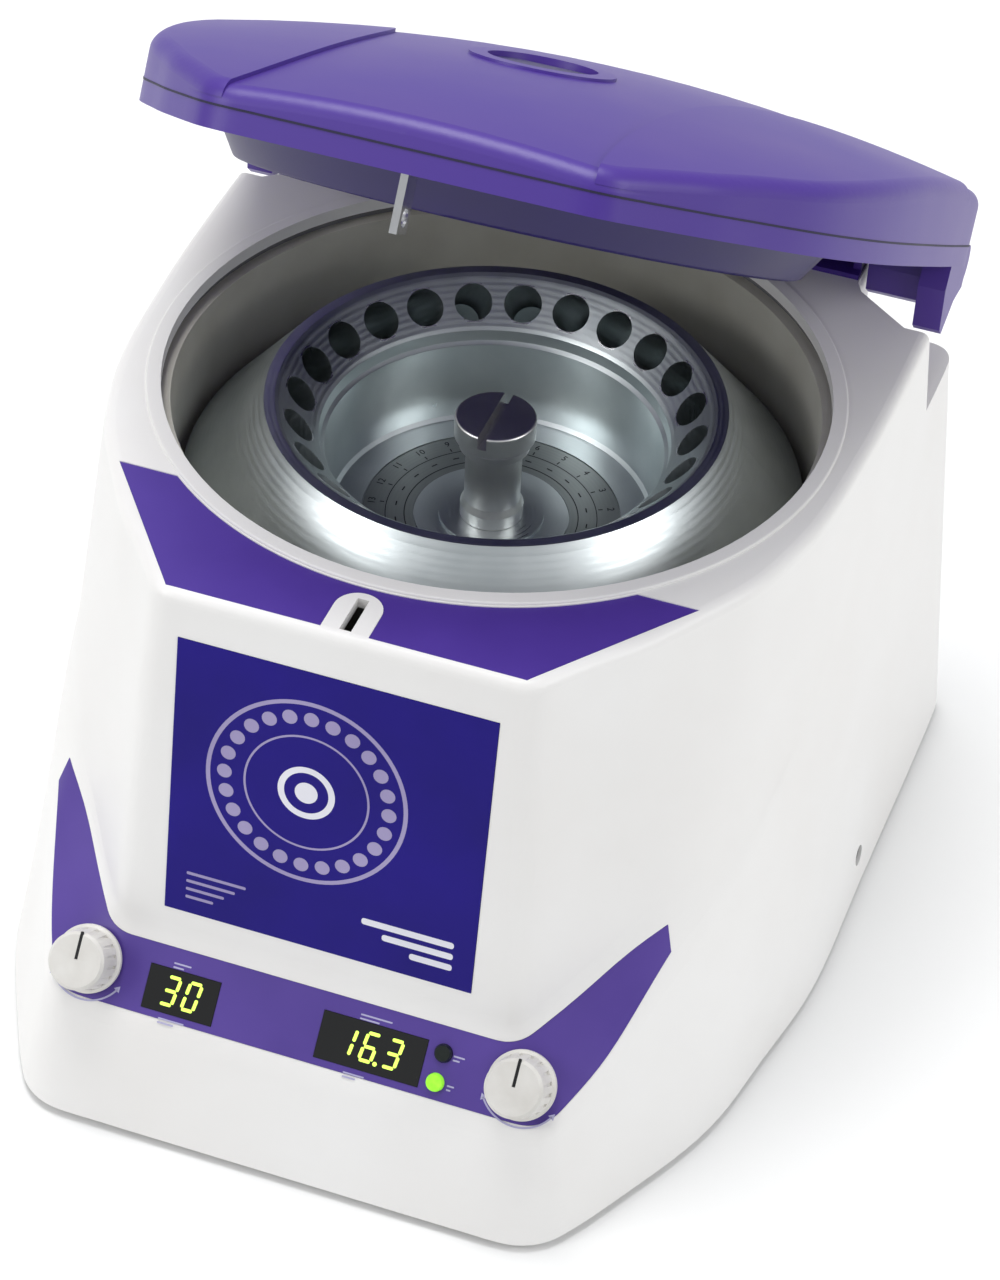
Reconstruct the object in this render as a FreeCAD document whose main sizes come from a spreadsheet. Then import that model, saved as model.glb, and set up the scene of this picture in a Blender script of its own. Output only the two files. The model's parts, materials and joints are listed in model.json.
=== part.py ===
import FreeCAD, Part
import math
import os
import re
import Sketcher

V = FreeCAD.Vector
doc = FreeCAD.newDocument("Microcentrifuge")

# ---------------------------------------------------------------- driving dimensions, mm
# Heights are counted from the housing's lower edge and lengths from the rotor's axis.
DIMENSIONS = {
    "axis_y": 19.8,  # rotor axis behind the middle of the footprint
    "foot_gap": 2.5,  # housing's lower edge above the bench
    "deck_level": 158.5,
    "shell_wall": 3.0,
    "opening_radius": 92.5,
    "lip_radius": 96.7,
    "lip_rise": 0.8,
    "pan_level": 3.2,
    "pan_plate": 2.0,
    "foot_radius": 9.5,
    "hinge_y": 103.4,
    "hinge_level": 160.2,
    "pin_radius": 3.0,
    "running_gap": 0.05,
    "rotor_turn": 11.45,  # degrees the rotor stands turned
    "lid_open": 32.2,  # degrees the lid stands open
    "lid_rim": 159.3,
    "lid_seam": 165.2,
    "lid_wall": 3.0,
    "dome_rise": 34,  # top of the dome above the rim
    "liner_radius": 77.8,
    "liner_level": 149.2,
    "seal_radius": 94.5,
    "port_radius": 15.0,
    "bowl_radius": 91.5,
    "bowl_wall": 1.5,
    "bowl_floor": 92.0,
    "rotor_radius": 87.5,
    "rotor_rim_radius": 66.0,
    "rotor_rim_level": 149.5,
    "rotor_base": 108.0,
    "well_floor": 111.0,
    "mouth_radius": 55.0,  # circle through the tube holes' mouths
    "mouth_level": 145.5,
    "tube_bore": 5.5,
    "tube_depth": 36.0,
    "tube_count": 24,
    "spindle_radius": 6.0,
    "thread_radius": 4.0,
    "nut_head_radius": 11.5,
    "nut_stem_radius": 8.0,
    "nut_top": 146.0,
    "plate_level": 34.0,
    "plate_radius": 62.0,
    "stator_radius": 36.0,
    "knob_radius": 9.5,
    "knob_height": 11.0,
    "knob_spread": 62.5,
    "shaft_radius": 3.0,
    "led_radius": 2.5,
    "slot_y": -108.4,
    "release_y": 7.5,
    "release_level": 12.0,
    "release_radius": 3.25,
}

sheet = doc.addObject("Spreadsheet::Sheet", "Dims")
for row, (alias, amount) in enumerate(DIMENSIONS.items(), 1):
    sheet.set("A%d" % row, alias)
    sheet.set("B%d" % row, str(amount))
    sheet.setAlias("B%d" % row, alias)
doc.recompute()


def bound(rule):
    # a rule such as "lip_radius + 2" written as an expression on the sheet
    return re.sub(
        r"[a-z][a-z_]+",
        lambda word: "Dims." + word.group() if word.group() in DIMENSIONS else word.group(),
        str(rule),
    )


def number(rule):
    return float(sheet.evalExpression(bound(rule)))


D = {alias: number(alias) for alias in DIMENSIONS}
AXIS_X, AXIS_Y, AXIS_Z = V(1, 0, 0), V(0, 1, 0), V(0, 0, 1)
sub_parts = []


# ---------------------------------------------------------------- small tools
def turn_about(axis, degrees):
    return FreeCAD.Rotation(axis, degrees)


def finish(piece, label, x=0, y=0, z=0, rotation=None, open_lid=False):
    # names a sub-part and stands it in the assembly
    where = FreeCAD.Placement(V(x, y, z), rotation or FreeCAD.Rotation())
    where = where.multiply(piece.Placement)
    if open_lid:
        pivot = V(0, D["hinge_y"], D["hinge_level"])
        swing = turn_about(AXIS_X, -D["lid_open"])
        where = FreeCAD.Placement(pivot - swing.multVec(pivot), swing).multiply(where)
    lift = FreeCAD.Placement(V(0, D["axis_y"], D["foot_gap"]), FreeCAD.Rotation())
    piece.Placement = lift.multiply(where)
    piece.Label = label
    sub_parts.append(piece)
    return piece


def shape_part(label, shape, **where):
    piece = doc.addObject("Part::Feature", label + "_shape")
    piece.Shape = shape
    return finish(piece, label, **where)


def primitive(kind, name, sizes, base=V(), rotation=None):
    piece = doc.addObject("Part::" + kind, name)
    for size, rule in sizes.items():
        piece.setExpression(size, bound(rule))
    piece.Placement = FreeCAD.Placement(base, rotation or FreeCAD.Rotation())
    return piece


def box(name, length, width, height, base=V(), rotation=None):
    sizes = {"Length": length, "Width": width, "Height": height}
    return primitive("Box", name, sizes, base, rotation)


def cylinder(name, radius, height, base=V(), rotation=None):
    return primitive("Cylinder", name, {"Radius": radius, "Height": height}, base, rotation)


def fused(name, pieces):
    whole = doc.addObject("Part::MultiFuse", name)
    whole.Shapes = pieces
    return whole


def cut(name, base, tools):
    tool = tools[0] if len(tools) == 1 else fused(name + "_tools", tools)
    result = doc.addObject("Part::Cut", name)
    result.Base = base
    result.Tool = tool
    return result


def plane_sketch(body, role, name):
    sketch = body.newObject("Sketcher::SketchObject", name)
    plane = next(f for f in body.Origin.OriginFeatures if f.Role == role)
    sketch.AttachmentSupport = [(plane, "")]
    sketch.MapMode = "FlatFace"
    return sketch


def draw_outline(sketch, corners):
    # closed outline whose corner coordinates follow the sheet
    spots = [V(number(a), number(b), 0) for a, b in corners]
    first = sketch.GeometryCount
    count = len(spots)
    for i, spot in enumerate(spots):
        sketch.addGeometry(Part.LineSegment(spot, spots[(i + 1) % count]), False)
    for i in range(count):
        following = first + (i + 1) % count
        sketch.addConstraint(Sketcher.Constraint("Coincident", first + i, 2, following, 1))
    for i, corner in enumerate(corners):
        for kind, rule, axis in (("DistanceX", corner[0], -2), ("DistanceY", corner[1], -1)):
            if number(rule) == 0:
                sketch.addConstraint(Sketcher.Constraint("PointOnObject", first + i, 1, axis))
                continue
            index = sketch.addConstraint(
                Sketcher.Constraint(kind, -1, 1, first + i, 1, number(rule))
            )
            if isinstance(rule, str):
                sketch.setExpression("Constraints[%d]" % index, bound(rule))


def turned(name, corners):
    # body of revolution about Z from its half section (radius, height)
    body = doc.addObject("PartDesign::Body", name)
    sketch = plane_sketch(body, "XZ_Plane", name + "_section")
    draw_outline(sketch, corners)
    feature = body.newObject("PartDesign::Revolution", name + "_turn")
    feature.Profile = sketch
    feature.ReferenceAxis = (sketch, ["V_Axis"])
    feature.Angle = 360
    sketch.Visibility = False
    doc.recompute()
    return body


def soften(body, rings, size, kind="Fillet"):
    # rounds or bevels the circular edges that lie at the given (radius, height)
    wanted = [(number(r), number(z)) for r, z in rings]
    base, names = body.Tip, []
    for index, edge in enumerate(base.Shape.Edges, 1):
        if not isinstance(edge.Curve, Part.Circle):
            continue
        here = (edge.Curve.Radius, edge.Curve.Center.z)
        if any(abs(here[0] - r) < 0.02 and abs(here[1] - z) < 0.02 for r, z in wanted):
            names.append("Edge%d" % index)
    feature = body.newObject("PartDesign::" + kind, body.Name + "_edges%d" % len(body.Group))
    feature.Base = (base, names)
    if kind == "Fillet":
        feature.Radius = size
    else:
        feature.Size = size
    doc.recompute()
    return body


def round_holes(body, name, spots, radius, role="XY_Plane"):
    # drills straight through from the sketch plane, both ways
    sketch = plane_sketch(body, role, name + "_holes")
    for x, y in spots:
        index = sketch.addGeometry(Part.Circle(V(number(x), number(y), 0), AXIS_Z, number(radius)))
        size = sketch.addConstraint(Sketcher.Constraint("Radius", index, number(radius)))
        sketch.setExpression("Constraints[%d]" % size, bound(radius))
        sketch.addConstraint(Sketcher.Constraint("DistanceX", -1, 1, index, 3, number(x)))
        sketch.addConstraint(Sketcher.Constraint("DistanceY", -1, 1, index, 3, number(y)))
    pocket = body.newObject("PartDesign::Pocket", name)
    pocket.Profile = sketch
    pocket.Type = "ThroughAll"
    pocket.Midplane = True
    sketch.Visibility = False
    doc.recompute()
    return body


def repeat_round(body, feature, count, axis="Z_Axis"):
    # copies a feature evenly about the body's own axis
    pattern = body.newObject("PartDesign::PolarPattern", feature.Name + "_ring")
    pattern.Originals = [feature]
    pattern.Axis = (next(f for f in body.Origin.OriginFeatures if f.Role == axis), [""])
    pattern.Angle = 360
    pattern.Occurrences = int(number(count))
    body.Tip = pattern
    doc.recompute()
    return pattern


def block(x0, x1, y0, y1, z0, z1):
    return Part.makeBox(x1 - x0, y1 - y0, z1 - z0, V(x0, y0, z0))


def prism(corners, z0, z1):
    # upright prism over a plan outline
    loop = [V(x, y, z0) for x, y in corners]
    return Part.Face(Part.makePolygon(loop + loop[:1])).extrude(V(0, 0, z1 - z0))


def mirrored(shape):
    return shape.mirror(V(), AXIS_X)


def both_sides(shape):
    return [shape, mirrored(shape)]


# ---------------------------------------------------------------- housing skin
# Four lines run round the housing: its lower edge, the outer and inner edges of the
# sloping ledge that carries the controls, and the edge of the deck. Each is a front
# corner, the points of its side and a rear corner; the front and rear are straight.
LEVEL = D["deck_level"]
LOWER_EDGE = {
    "corner": V(74.6, -161, 0),
    "setback": 12,
    "side": [
        V(86, -141, 0), V(95, -124, 0), V(106, -98, 0), V(111, -73, 0),
        V(116, -47, 0), V(118, 0, 0), V(119, 50, 0), V(119.5, 88, 0),
    ],
    "rear": V(119.5, 103, 0),
}
OUTER_LEDGE = {
    "corner": V(72.5, -149.5, 31.3),
    "setback": 9,
    "side": [
        V(82, -127, 43), V(90, -105, 58.5), V(95, -92, 65), V(101, -69, 79),
        V(105, -43, 95), V(107.5, -7, 110), V(108.9, 45, 113), V(109.6, 88, 113),
    ],
    "rear": V(109.6, 101, 113),
}
INNER_LEDGE = {
    "corner": V(57.5, -134, 50),
    "setback": 6,
    "side": [
        V(71, -116, 60), V(80, -104, 69), V(88, -94, 77), V(95, -80, 82), V(99, -68, 86),
        V(103, -50, 94), V(106, -30, 106), V(106.7, -7, 118), V(108, 45, 122),
        V(108.7, 88, 122),
    ],
    "rear": V(108.7, 100.8, 122),
}
DECK_EDGE = {
    "corner": V(51, -118, LEVEL),
    "setback": 5,
    "side": [
        V(63, -102, LEVEL), V(73, -90, LEVEL), V(82, -75, LEVEL), V(89, -64, LEVEL),
        V(94, -53, LEVEL), V(98, -40, LEVEL), V(101, -26, LEVEL), V(103, -7, LEVEL),
        V(104.5, 15, LEVEL), V(105.5, 50, LEVEL), V(105.5, 88, LEVEL),
    ],
    "rear": V(105.5, 100, LEVEL),
}
REAR_SETBACK = 9
FRONT_STEPS, CORNER_STEPS, SIDE_STEPS = 4, 6, 17


def bend(start, corner, end, steps):
    # rounded corner as a parabola touching both legs
    spots = []
    for i in range(steps):
        t = i / (steps - 1)
        spots.append(start * (1 - t) ** 2 + corner * (2 * t * (1 - t)) + end * t ** 2)
    return spots


def straight(start, end, steps):
    # points from start up to, but without, end, closer together near the end
    return [start + (end - start) * (1 - (1 - i / steps) ** 2) for i in range(steps)]


def toward(start, goal):
    return (goal - start).normalize()


def stations(line):
    # right half of one line, from the middle of the front to the middle of the rear
    corner, rear, back = line["corner"], line["rear"], REAR_SETBACK
    corner_in = corner - AXIS_X * line["setback"]
    corner_out = corner + toward(corner, line["side"][0]) * line["setback"]
    rear_in = rear + toward(rear, line["side"][-1]) * back
    rear_out = rear - AXIS_X * back
    side = Part.BSplineCurve()
    side.interpolate([corner_out] + line["side"] + [rear_in])
    along = side.toShape().discretize(Number=SIDE_STEPS)
    rear_middle = V(0, rear.y, rear.z)
    spots = straight(V(0, corner.y, corner.z), corner_in, FRONT_STEPS)
    spots += bend(corner_in, corner, corner_out, CORNER_STEPS)
    spots += along[1:-1]
    spots += bend(rear_in, rear, rear_out, CORNER_STEPS)
    spots += list(reversed(straight(rear_middle, rear_out, FRONT_STEPS)))
    return spots


def inset(line, amount, level=None):
    # the line moved inwards in plan, optionally put at another height
    moved = []
    for i, spot in enumerate(line):
        before = line[i - 1] if i else V(-line[1].x, line[1].y, 0)
        after = line[i + 1] if i + 1 < len(line) else V(-line[-2].x, line[-2].y, 0)
        along = V(after.x - before.x, after.y - before.y, 0).normalize()
        outward = V(along.y, -along.x, 0)
        new = spot - outward * amount
        moved.append(V(new.x, new.y, spot.z if level is None else level))
    return moved


def blend(before, corner, after, reach):
    # the three pole rows of a rounded edge between two strips of the skin
    first, last = [], []
    for a, c, b in zip(before, corner, after):
        first.append(c + toward(c, a) * min(reach, 0.45 * (a - c).Length))
        last.append(c + toward(c, b) * min(reach, 0.45 * (b - c).Length))
    return [first, corner, last]


def pace(rows):
    # common parameter of all rows: mean distance travelled along them
    total = [0.0]
    for i in range(1, len(rows[0])):
        step = sum((row[i] - row[i - 1]).Length for row in rows) / len(rows)
        total.append(total[-1] + step)
    return total


def smooth(row, times):
    curve = Part.BSplineCurve()
    curve.interpolate(Points=row, Parameters=times)
    return curve


def strip(curves, side=1):
    # face between the first and last curve; a middle one rounds it
    degree = len(curves) - 1
    poles = [[V(side * p.x, p.y, p.z) for p in curve.getPoles()] for curve in curves]
    surface = Part.BSplineSurface()
    surface.buildFromPolesMultsKnots(
        poles, [degree + 1] * 2, curves[0].getMultiplicities(), [0.0, 1.0],
        curves[0].getKnots(), False, False, degree, 3,
    )
    return surface.toShape()


def cap(curve):
    poles = [V(-p.x, p.y, p.z) for p in curve.getPoles()]
    twin = Part.BSplineCurve()
    twin.buildFromPolesMultsKnots(
        poles, curve.getMultiplicities(), curve.getKnots(), False, curve.Degree
    )
    return Part.Face(Part.Wire([curve.toShape(), twin.toShape()]))


def solid_of(faces):
    shell = Part.makeShell(faces)
    shell.sewShape()
    solid = Part.makeSolid(shell)
    if solid.Volume < 0:
        solid.reverse()
    return solid


def skin_solid(lines, reaches):
    # solid bounded by the lines' strips, with rounded edges at the inner lines
    lower, ledge_out, ledge_in, edge, top = lines
    rows = [lower]
    rows += blend(lower, ledge_out, ledge_in, reaches[0])
    rows += blend(ledge_out, ledge_in, edge, reaches[1])
    rows += blend(ledge_in, edge, top, reaches[2])
    times = pace([lower, edge])
    curves = [smooth(row, times) for row in rows]
    faces = [cap(curves[0]), cap(curves[-1])]
    for start, end in ((0, 1), (1, 3), (3, 4), (4, 6), (6, 7), (7, 9)):
        for side in (1, -1):
            faces.append(strip(curves[start:end + 1], side))
    return solid_of(faces)


lower_line, outer_line, inner_line, deck_line = (
    stations(line) for line in (LOWER_EDGE, OUTER_LEDGE, INNER_LEDGE, DECK_EDGE)
)
WALL = D["shell_wall"]
outer_skin = skin_solid(
    [lower_line, outer_line, inner_line, deck_line, inset(deck_line, 12)], [3.5, 5.0, 3.0]
)
inner_skin = skin_solid(
    [
        inset(lower_line, WALL, -1),
        inset(outer_line, WALL),
        inset(inner_line, WALL),
        inset(deck_line, WALL, LEVEL - WALL),
        inset(deck_line, 12, LEVEL - WALL),
    ],
    [1.0, 5.0, 0.6],
)

# ---------------------------------------------------------------- control ledge frame
# x runs across, "up" climbs the ledge and "out" leaves it at right angles.
LEDGE_UP = toward(V(0, -149.5, 31.3), V(0, -134, 50))
LEDGE_OUT = V(0, -LEDGE_UP.z, LEDGE_UP.y)
LEDGE_MIDDLE = (V(0, -149.5, 31.3) + V(0, -134, 50)) * 0.5
LEDGE_TILT = FreeCAD.Rotation(AXIS_X, LEDGE_UP, LEDGE_OUT, "XYZ")
KNOB_UP = 1.0  # knob axes above the ledge's middle line
TIME_DISPLAY = (-35.0, -1.6, 20.5, 12.2)  # x, up, width, height
SPEED_DISPLAY = (19.9, -1.1, 29.8, 13.0)
LED_SPOTS = {"standby_led": (39.5, 3.1), "run_led": (39.2, -5.0)}


def on_ledge(x, up, out):
    return V(x, 0, 0) + LEDGE_MIDDLE + LEDGE_UP * up + LEDGE_OUT * out


def ledge_box(x, up, width, height, out0, out1):
    shape = Part.makeBox(width, height, out1 - out0, V(-width / 2, -height / 2, 0))
    shape.Placement = FreeCAD.Placement(on_ledge(x, up, out0), LEDGE_TILT)
    return shape


def ledge_rod(x, up, radius, out0, out1):
    return Part.makeCylinder(radius, out1 - out0, on_ledge(x, up, out0), LEDGE_OUT)


def ledge_band(out0, out1, margin):
    # layer over the ledge that narrows to a point along each wing
    last = max(i for i, spot in enumerate(outer_line) if spot.y < -92)
    rows = [[], [], [], []]
    for i in range(last + 1):
        low, high = outer_line[i], inner_line[i]
        across = toward(low, high)
        along = toward(outer_line[max(i - 1, 0)], outer_line[i + 1])
        normal = across.cross(along).normalize() * -1
        if normal.z < 0:
            normal = normal * -1
        width = (high - low).Length
        ahead = max(0.0, (outer_line[i].y + 127) / 35)
        pinch = 0.4 * ahead ** 2
        near = low + across * (width * (0.10 + pinch) + margin)
        far = low + across * (width * (0.93 - pinch) - margin)
        for row, spot, height in zip(rows, (near, far, far, near), (out0, out0, out1, out1)):
            row.append(spot + normal * height)
    times = pace(rows)
    curves = [smooth(row, times) for row in rows]
    faces = []
    for side in (1, -1):
        for a, b in ((0, 1), (1, 2), (2, 3), (3, 0)):
            faces.append(strip([curves[a], curves[b]], side))
        ends = [V(side * row[-1].x, row[-1].y, row[-1].z) for row in rows]
        faces.append(Part.Face(Part.makeRuledSurface(
            Part.makeLine(ends[0], ends[1]), Part.makeLine(ends[3], ends[2]))))
    return solid_of(faces)


def ledge_openings(out0, out1, grow):
    cuts = [
        ledge_box(d[0], d[1], d[2] + grow, d[3] + grow, out0, out1)
        for d in (TIME_DISPLAY, SPEED_DISPLAY)
    ]
    cuts += [ledge_rod(x, up, D["led_radius"] + grow / 2, out0, out1) for x, up in LED_SPOTS.values()]
    for x in (-D["knob_spread"], D["knob_spread"]):
        cuts.append(ledge_rod(x, KNOB_UP, 3.6 + grow / 2, out0, out1))
    return cuts


# ---------------------------------------------------------------- trim let into the housing
BADGE_LOW, BADGE_HIGH, BADGE_HALF = 60.5, 146.0, 44.0
FACE_UP = toward(V(0, -134, 50), V(0, -118, LEVEL))
FACE_OUT = V(0, -FACE_UP.z, FACE_UP.y)
FACE_TILT = FreeCAD.Rotation(AXIS_X, FACE_UP, FACE_OUT, "XYZ")


def front_face_box(half, low, high, out0, out1):
    # slab on the sloping front face between two heights
    foot = V(0, -134, 50) + FACE_UP * ((low - 50) / FACE_UP.z)
    shape = Part.makeBox(2 * half, (high - low) / FACE_UP.z, out1 - out0, V(-half, 0, 0))
    shape.Placement = FreeCAD.Placement(foot + FACE_OUT * out0, FACE_TILT)
    return shape


def inlay_solid(z0, z1):
    # coloured deck trim: a kite cut back by the lip and by the tab round the latch slot
    right = [(0, -115.5), (49, -115.5), (81, -73), (60, -73), (0, -73)]
    left = [(-x, y) for x, y in reversed(right[1:-1])]
    plate = prism(right[:-1] + left, z0, z1)
    tab = Part.makeCylinder(6.5, z1 - z0, V(0, D["slot_y"] + 2.4, z0))
    tab = tab.fuse(block(-6.5, 6.5, -118, D["slot_y"] + 2.4, z0, z1))
    round_cut = Part.makeCylinder(D["lip_radius"] + 0.5, z1 - z0, V(0, 0, z0))
    return plate.cut([tab, round_cut])


def hinge_notch(grow):
    # corner of the deck that the lid's arm drops into
    g = grow
    return [
        (80 - g, 114), (80 - g, 84 - 0.3 * g), (82 - 0.8 * g, 80 - 0.6 * g),
        (98 - 0.5 * g, 67.5 - g), (114, 67.5 - g), (114, 114),
    ]


def make_housing_shell():
    notch_floor = 132
    shell = outer_skin.cut(inner_skin)
    additions = []
    for side in both_sides(prism(hinge_notch(2.5), notch_floor - 2.5, LEVEL - 1)):
        additions.append(side.common(outer_skin))
    for x, y, top in ((109, 93, 60), (60, -149, 27)):
        for boss in both_sides(Part.makeCylinder(5, top - 5.4, V(x, y, 5.4))):
            additions.append(boss.common(outer_skin))
    lip = Part.makeCylinder(D["lip_radius"], WALL + D["lip_rise"], V(0, 0, LEVEL - WALL))
    lip = lip.makeFillet(0.6, [e for e in lip.Edges if e.BoundBox.ZMin > LEVEL])
    shell = shell.fuse(additions + [lip])
    tools = [Part.makeCylinder(D["opening_radius"], 20, V(0, 0, LEVEL - 10))]
    tools += both_sides(prism(hinge_notch(0), notch_floor, LEVEL + 5))
    tools.append(inlay_solid(LEVEL - 1.5, LEVEL + 2))
    tools.append(front_face_box(BADGE_HALF, BADGE_LOW, BADGE_HIGH, -0.7, 3))
    tools.append(ledge_band(-0.5, 1.5, 0))
    tools += ledge_openings(-8, 2, 0.6)
    slot_half, slot_run = 1.6, 6.5
    tools.append(block(-slot_half, slot_half, D["slot_y"] - slot_run, D["slot_y"] + slot_run, 150, 162))
    tools.append(
        Part.makeCylinder(D["release_radius"], 20, V(105, D["release_y"], D["release_level"]), AXIS_X)
    )
    tools.append(block(-75.2, -19.8, 92, 110, 18.8, 49.2))
    for i in range(9):
        tools.append(block(14 + 7 * i, 17.5 + 7 * i, 92, 110, 20, 62))
    for x, y in ((109, 93), (60, -149)):
        tools += both_sides(Part.makeCylinder(1.6, 14, V(x, y, 5)))
    return shell.cut(tools).removeSplitter()


shape_part("housing_shell", make_housing_shell())
shape_part("deck_inlay", inlay_solid(LEVEL - 1.5, LEVEL - 0.3))
shape_part("badge_panel", front_face_box(BADGE_HALF - 0.1, BADGE_LOW + 0.1, BADGE_HIGH - 0.1, -0.7, 0.2))
shape_part("control_overlay", ledge_band(-0.5, 0.15, 0.1).cut(ledge_openings(-2, 2, 0.2)))


# ---------------------------------------------------------------- base
def make_base_pan():
    z0, z1 = D["pan_level"], D["pan_level"] + D["pan_plate"]
    times = pace([lower_line])
    edge = smooth(inset(lower_line, WALL + 0.9, z0), times)
    plate = cap(edge).extrude(V(0, 0, z1 - z0)).common(inner_skin)
    tools = []
    for i in range(8):
        tools += both_sides(block(68, 98, -52 + 9 * i, -48 + 9 * i, z0 - 1, z1 + 1))
    for x, y in ((109, 93), (60, -149)):
        tools += both_sides(Part.makeCylinder(1.8, 6, V(x, y, z0 - 2)))
    for x, y in ((96, 84), (62, -126)):
        tools += both_sides(Part.makeCylinder(2.6, 6, V(x, y, z0 - 2)))
    return plate.cut(tools)


def make_foot():
    # rubber foot with a hollow under it and a barb through the pan
    top = D["pan_level"] + D["foot_gap"]
    section = [
        (0, 1.2), (5.5, 1.2), (6.5, 0), (8.6, 0), (D["foot_radius"], top - 1), (D["foot_radius"], top),
        (2.4, top), (2.4, top + 2.1), (3.4, top + 2.1), (2.0, top + 4.2), (0, top + 4.2),
    ]
    face = Part.Face(Part.makePolygon([V(r, 0, z) for r, z in section + section[:1]]))
    return face.revolve(V(), AXIS_Z, 360)


def make_screw(head_radius, head, shank_radius, shank):
    # pan head below z = 0, shank above it
    body = Part.makeCylinder(head_radius, head, V(0, 0, -head))
    body = body.makeFillet(0.45 * head, [e for e in body.Edges if e.BoundBox.ZMax < -0.5 * head])
    body = body.fuse(Part.makeCylinder(shank_radius, shank))
    cross = block(-0.5, 0.5, -1.8, 1.8, -head - 1, -head + 0.9)
    return body.cut([cross, cross.rotated(V(), AXIS_Z, 90)])


def copies(shape, spots):
    return Part.makeCompound([shape.translated(V(*spot)) for spot in spots])


FOOT_SPOTS = [(96, 84), (-96, 84), (62, -126), (-62, -126)]
BOSS_SPOTS = [(109, 93), (-109, 93), (60, -149), (-60, -149)]
shape_part("base_pan", make_base_pan())
shape_part("feet", copies(make_foot(), [(x, y, -D["foot_gap"]) for x, y in FOOT_SPOTS]))
shape_part(
    "case_screws", copies(make_screw(3.2, 1.8, 1.5, 12), [(x, y, D["pan_level"]) for x, y in BOSS_SPOTS])
)

# ---------------------------------------------------------------- chamber
bowl = turned("Bowl", [
    (18, "bowl_floor + 8"), (18, "bowl_floor"), ("bowl_radius - 12", "bowl_floor - 3"),
    ("bowl_radius", "bowl_floor + 9"), ("bowl_radius", 151.8), (96.2, 151.8), (96.2, 153.3),
    ("bowl_radius - bowl_wall", 153.3), ("bowl_radius - bowl_wall", "bowl_floor + 9.6"),
    ("bowl_radius - 12.6", "bowl_floor - 1.5"), (19.5, "bowl_floor + 1.5"), (19.5, "bowl_floor + 8"),
])
soften(bowl, [("bowl_radius - 12.6", "bowl_floor - 1.5"), ("bowl_radius - bowl_wall", "bowl_floor + 9.6")], 8)
finish(bowl, "chamber_bowl")
finish(turned("Gasket", [(93.5, 153.3), (96.2, 153.3), (96.2, 155.5), (93.5, 155.5)]), "bowl_gasket")
finish(turned("Boot", [
    (13.2, 84), (15, 84), (15, 90), (18, 96), (18, 100), (21, 100), (21, 101.8), (16.4, 101.8),
    (16.4, 96.6), (13.2, 91),
]), "shaft_boot")

# ---------------------------------------------------------------- drive
PLATE_TOP = D["plate_level"] + 3
plate = turned("MotorPlate", [
    (20, "plate_level"), ("plate_radius", "plate_level"), ("plate_radius", "plate_level + 3"),
    (20, "plate_level + 3"),
])
ISOLATOR_SPOTS = [
    (50 * math.cos(math.radians(a)), 50 * math.sin(math.radians(a))) for a in (90, 210, 330)
]
round_holes(plate, "PlateStuds", ISOLATOR_SPOTS, 3.1)
finish(plate, "motor_plate")


def make_isolator():
    z0, z1 = D["pan_level"] + D["pan_plate"], D["plate_level"]
    section = [
        (0, z0), (9, z0), (9, z0 + 4), (7, z0 + 8), (7, z1 - 6), (9, z1 - 3), (9, z1),
        (3, z1), (3, z1 + 7), (0, z1 + 7),
    ]
    face = Part.Face(Part.makePolygon([V(r, 0, z) for r, z in section + section[:1]]))
    return face.revolve(V(), AXIS_Z, 360)


shape_part("motor_isolators", copies(make_isolator(), [(x, y, 0) for x, y in ISOLATOR_SPOTS]))
finish(turned("BellLower", [
    (7.2, 24), (13, 24), (13, 33), (19.5, 35), (19.5, "plate_level + 3"),
    ("stator_radius + 3", "plate_level + 3"), ("stator_radius + 3", 41), ("stator_radius - 1", 46),
    ("stator_radius - 4", 46), (24, 41), (11, 36), (11, 26), (7.2, 26),
]), "end_bell_lower")
stator = turned("Stator", [(21, 46), ("stator_radius", 46), ("stator_radius", 72), (21, 72)])
fins = stator.newObject("PartDesign::Groove", "StatorBands")
fin_sketch = plane_sketch(stator, "XZ_Plane", "StatorBandsSection")
draw_outline(fin_sketch, [
    ("stator_radius - 1", 49), ("stator_radius + 1", 49), ("stator_radius + 1", 69), ("stator_radius - 1", 69),
])
fins.Profile = fin_sketch
fins.ReferenceAxis = (fin_sketch, ["V_Axis"])
fins.Angle = 360
fin_sketch.Visibility = False
doc.recompute()
finish(stator, "motor_stator")
bell_upper = turned("BellUpper", [
    ("stator_radius - 4", 72), ("stator_radius", 72), ("stator_radius", 77), (30, 82), (12.9, 83),
    (12.9, 90), (7.2, 90), (7.2, 88), (11, 88), (11, 79), (26, 77),
])
finish(bell_upper, "end_bell_upper")


def make_bearing(z0, z1):
    return Part.makeCylinder(11, z1 - z0, V(0, 0, z0)).cut(
        Part.makeCylinder(D["spindle_radius"] + D["running_gap"], z1 - z0, V(0, 0, z0)))


shape_part("motor_bearings", Part.makeCompound([make_bearing(26, 34), make_bearing(80, 88)]))
finish(turned("MotorRotor", [(6, 47), (20.4, 47), (20.4, 71), (6, 71)]), "motor_rotor")
spindle = turned("Spindle", [
    (0, 25), ("spindle_radius", 25), ("spindle_radius", 106), ("thread_radius + 1", 118),
    ("thread_radius", 118), ("thread_radius", 136), ("thread_radius - 1", 137), (0, 137),
])
finish(spindle, "drive_spindle")

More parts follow.
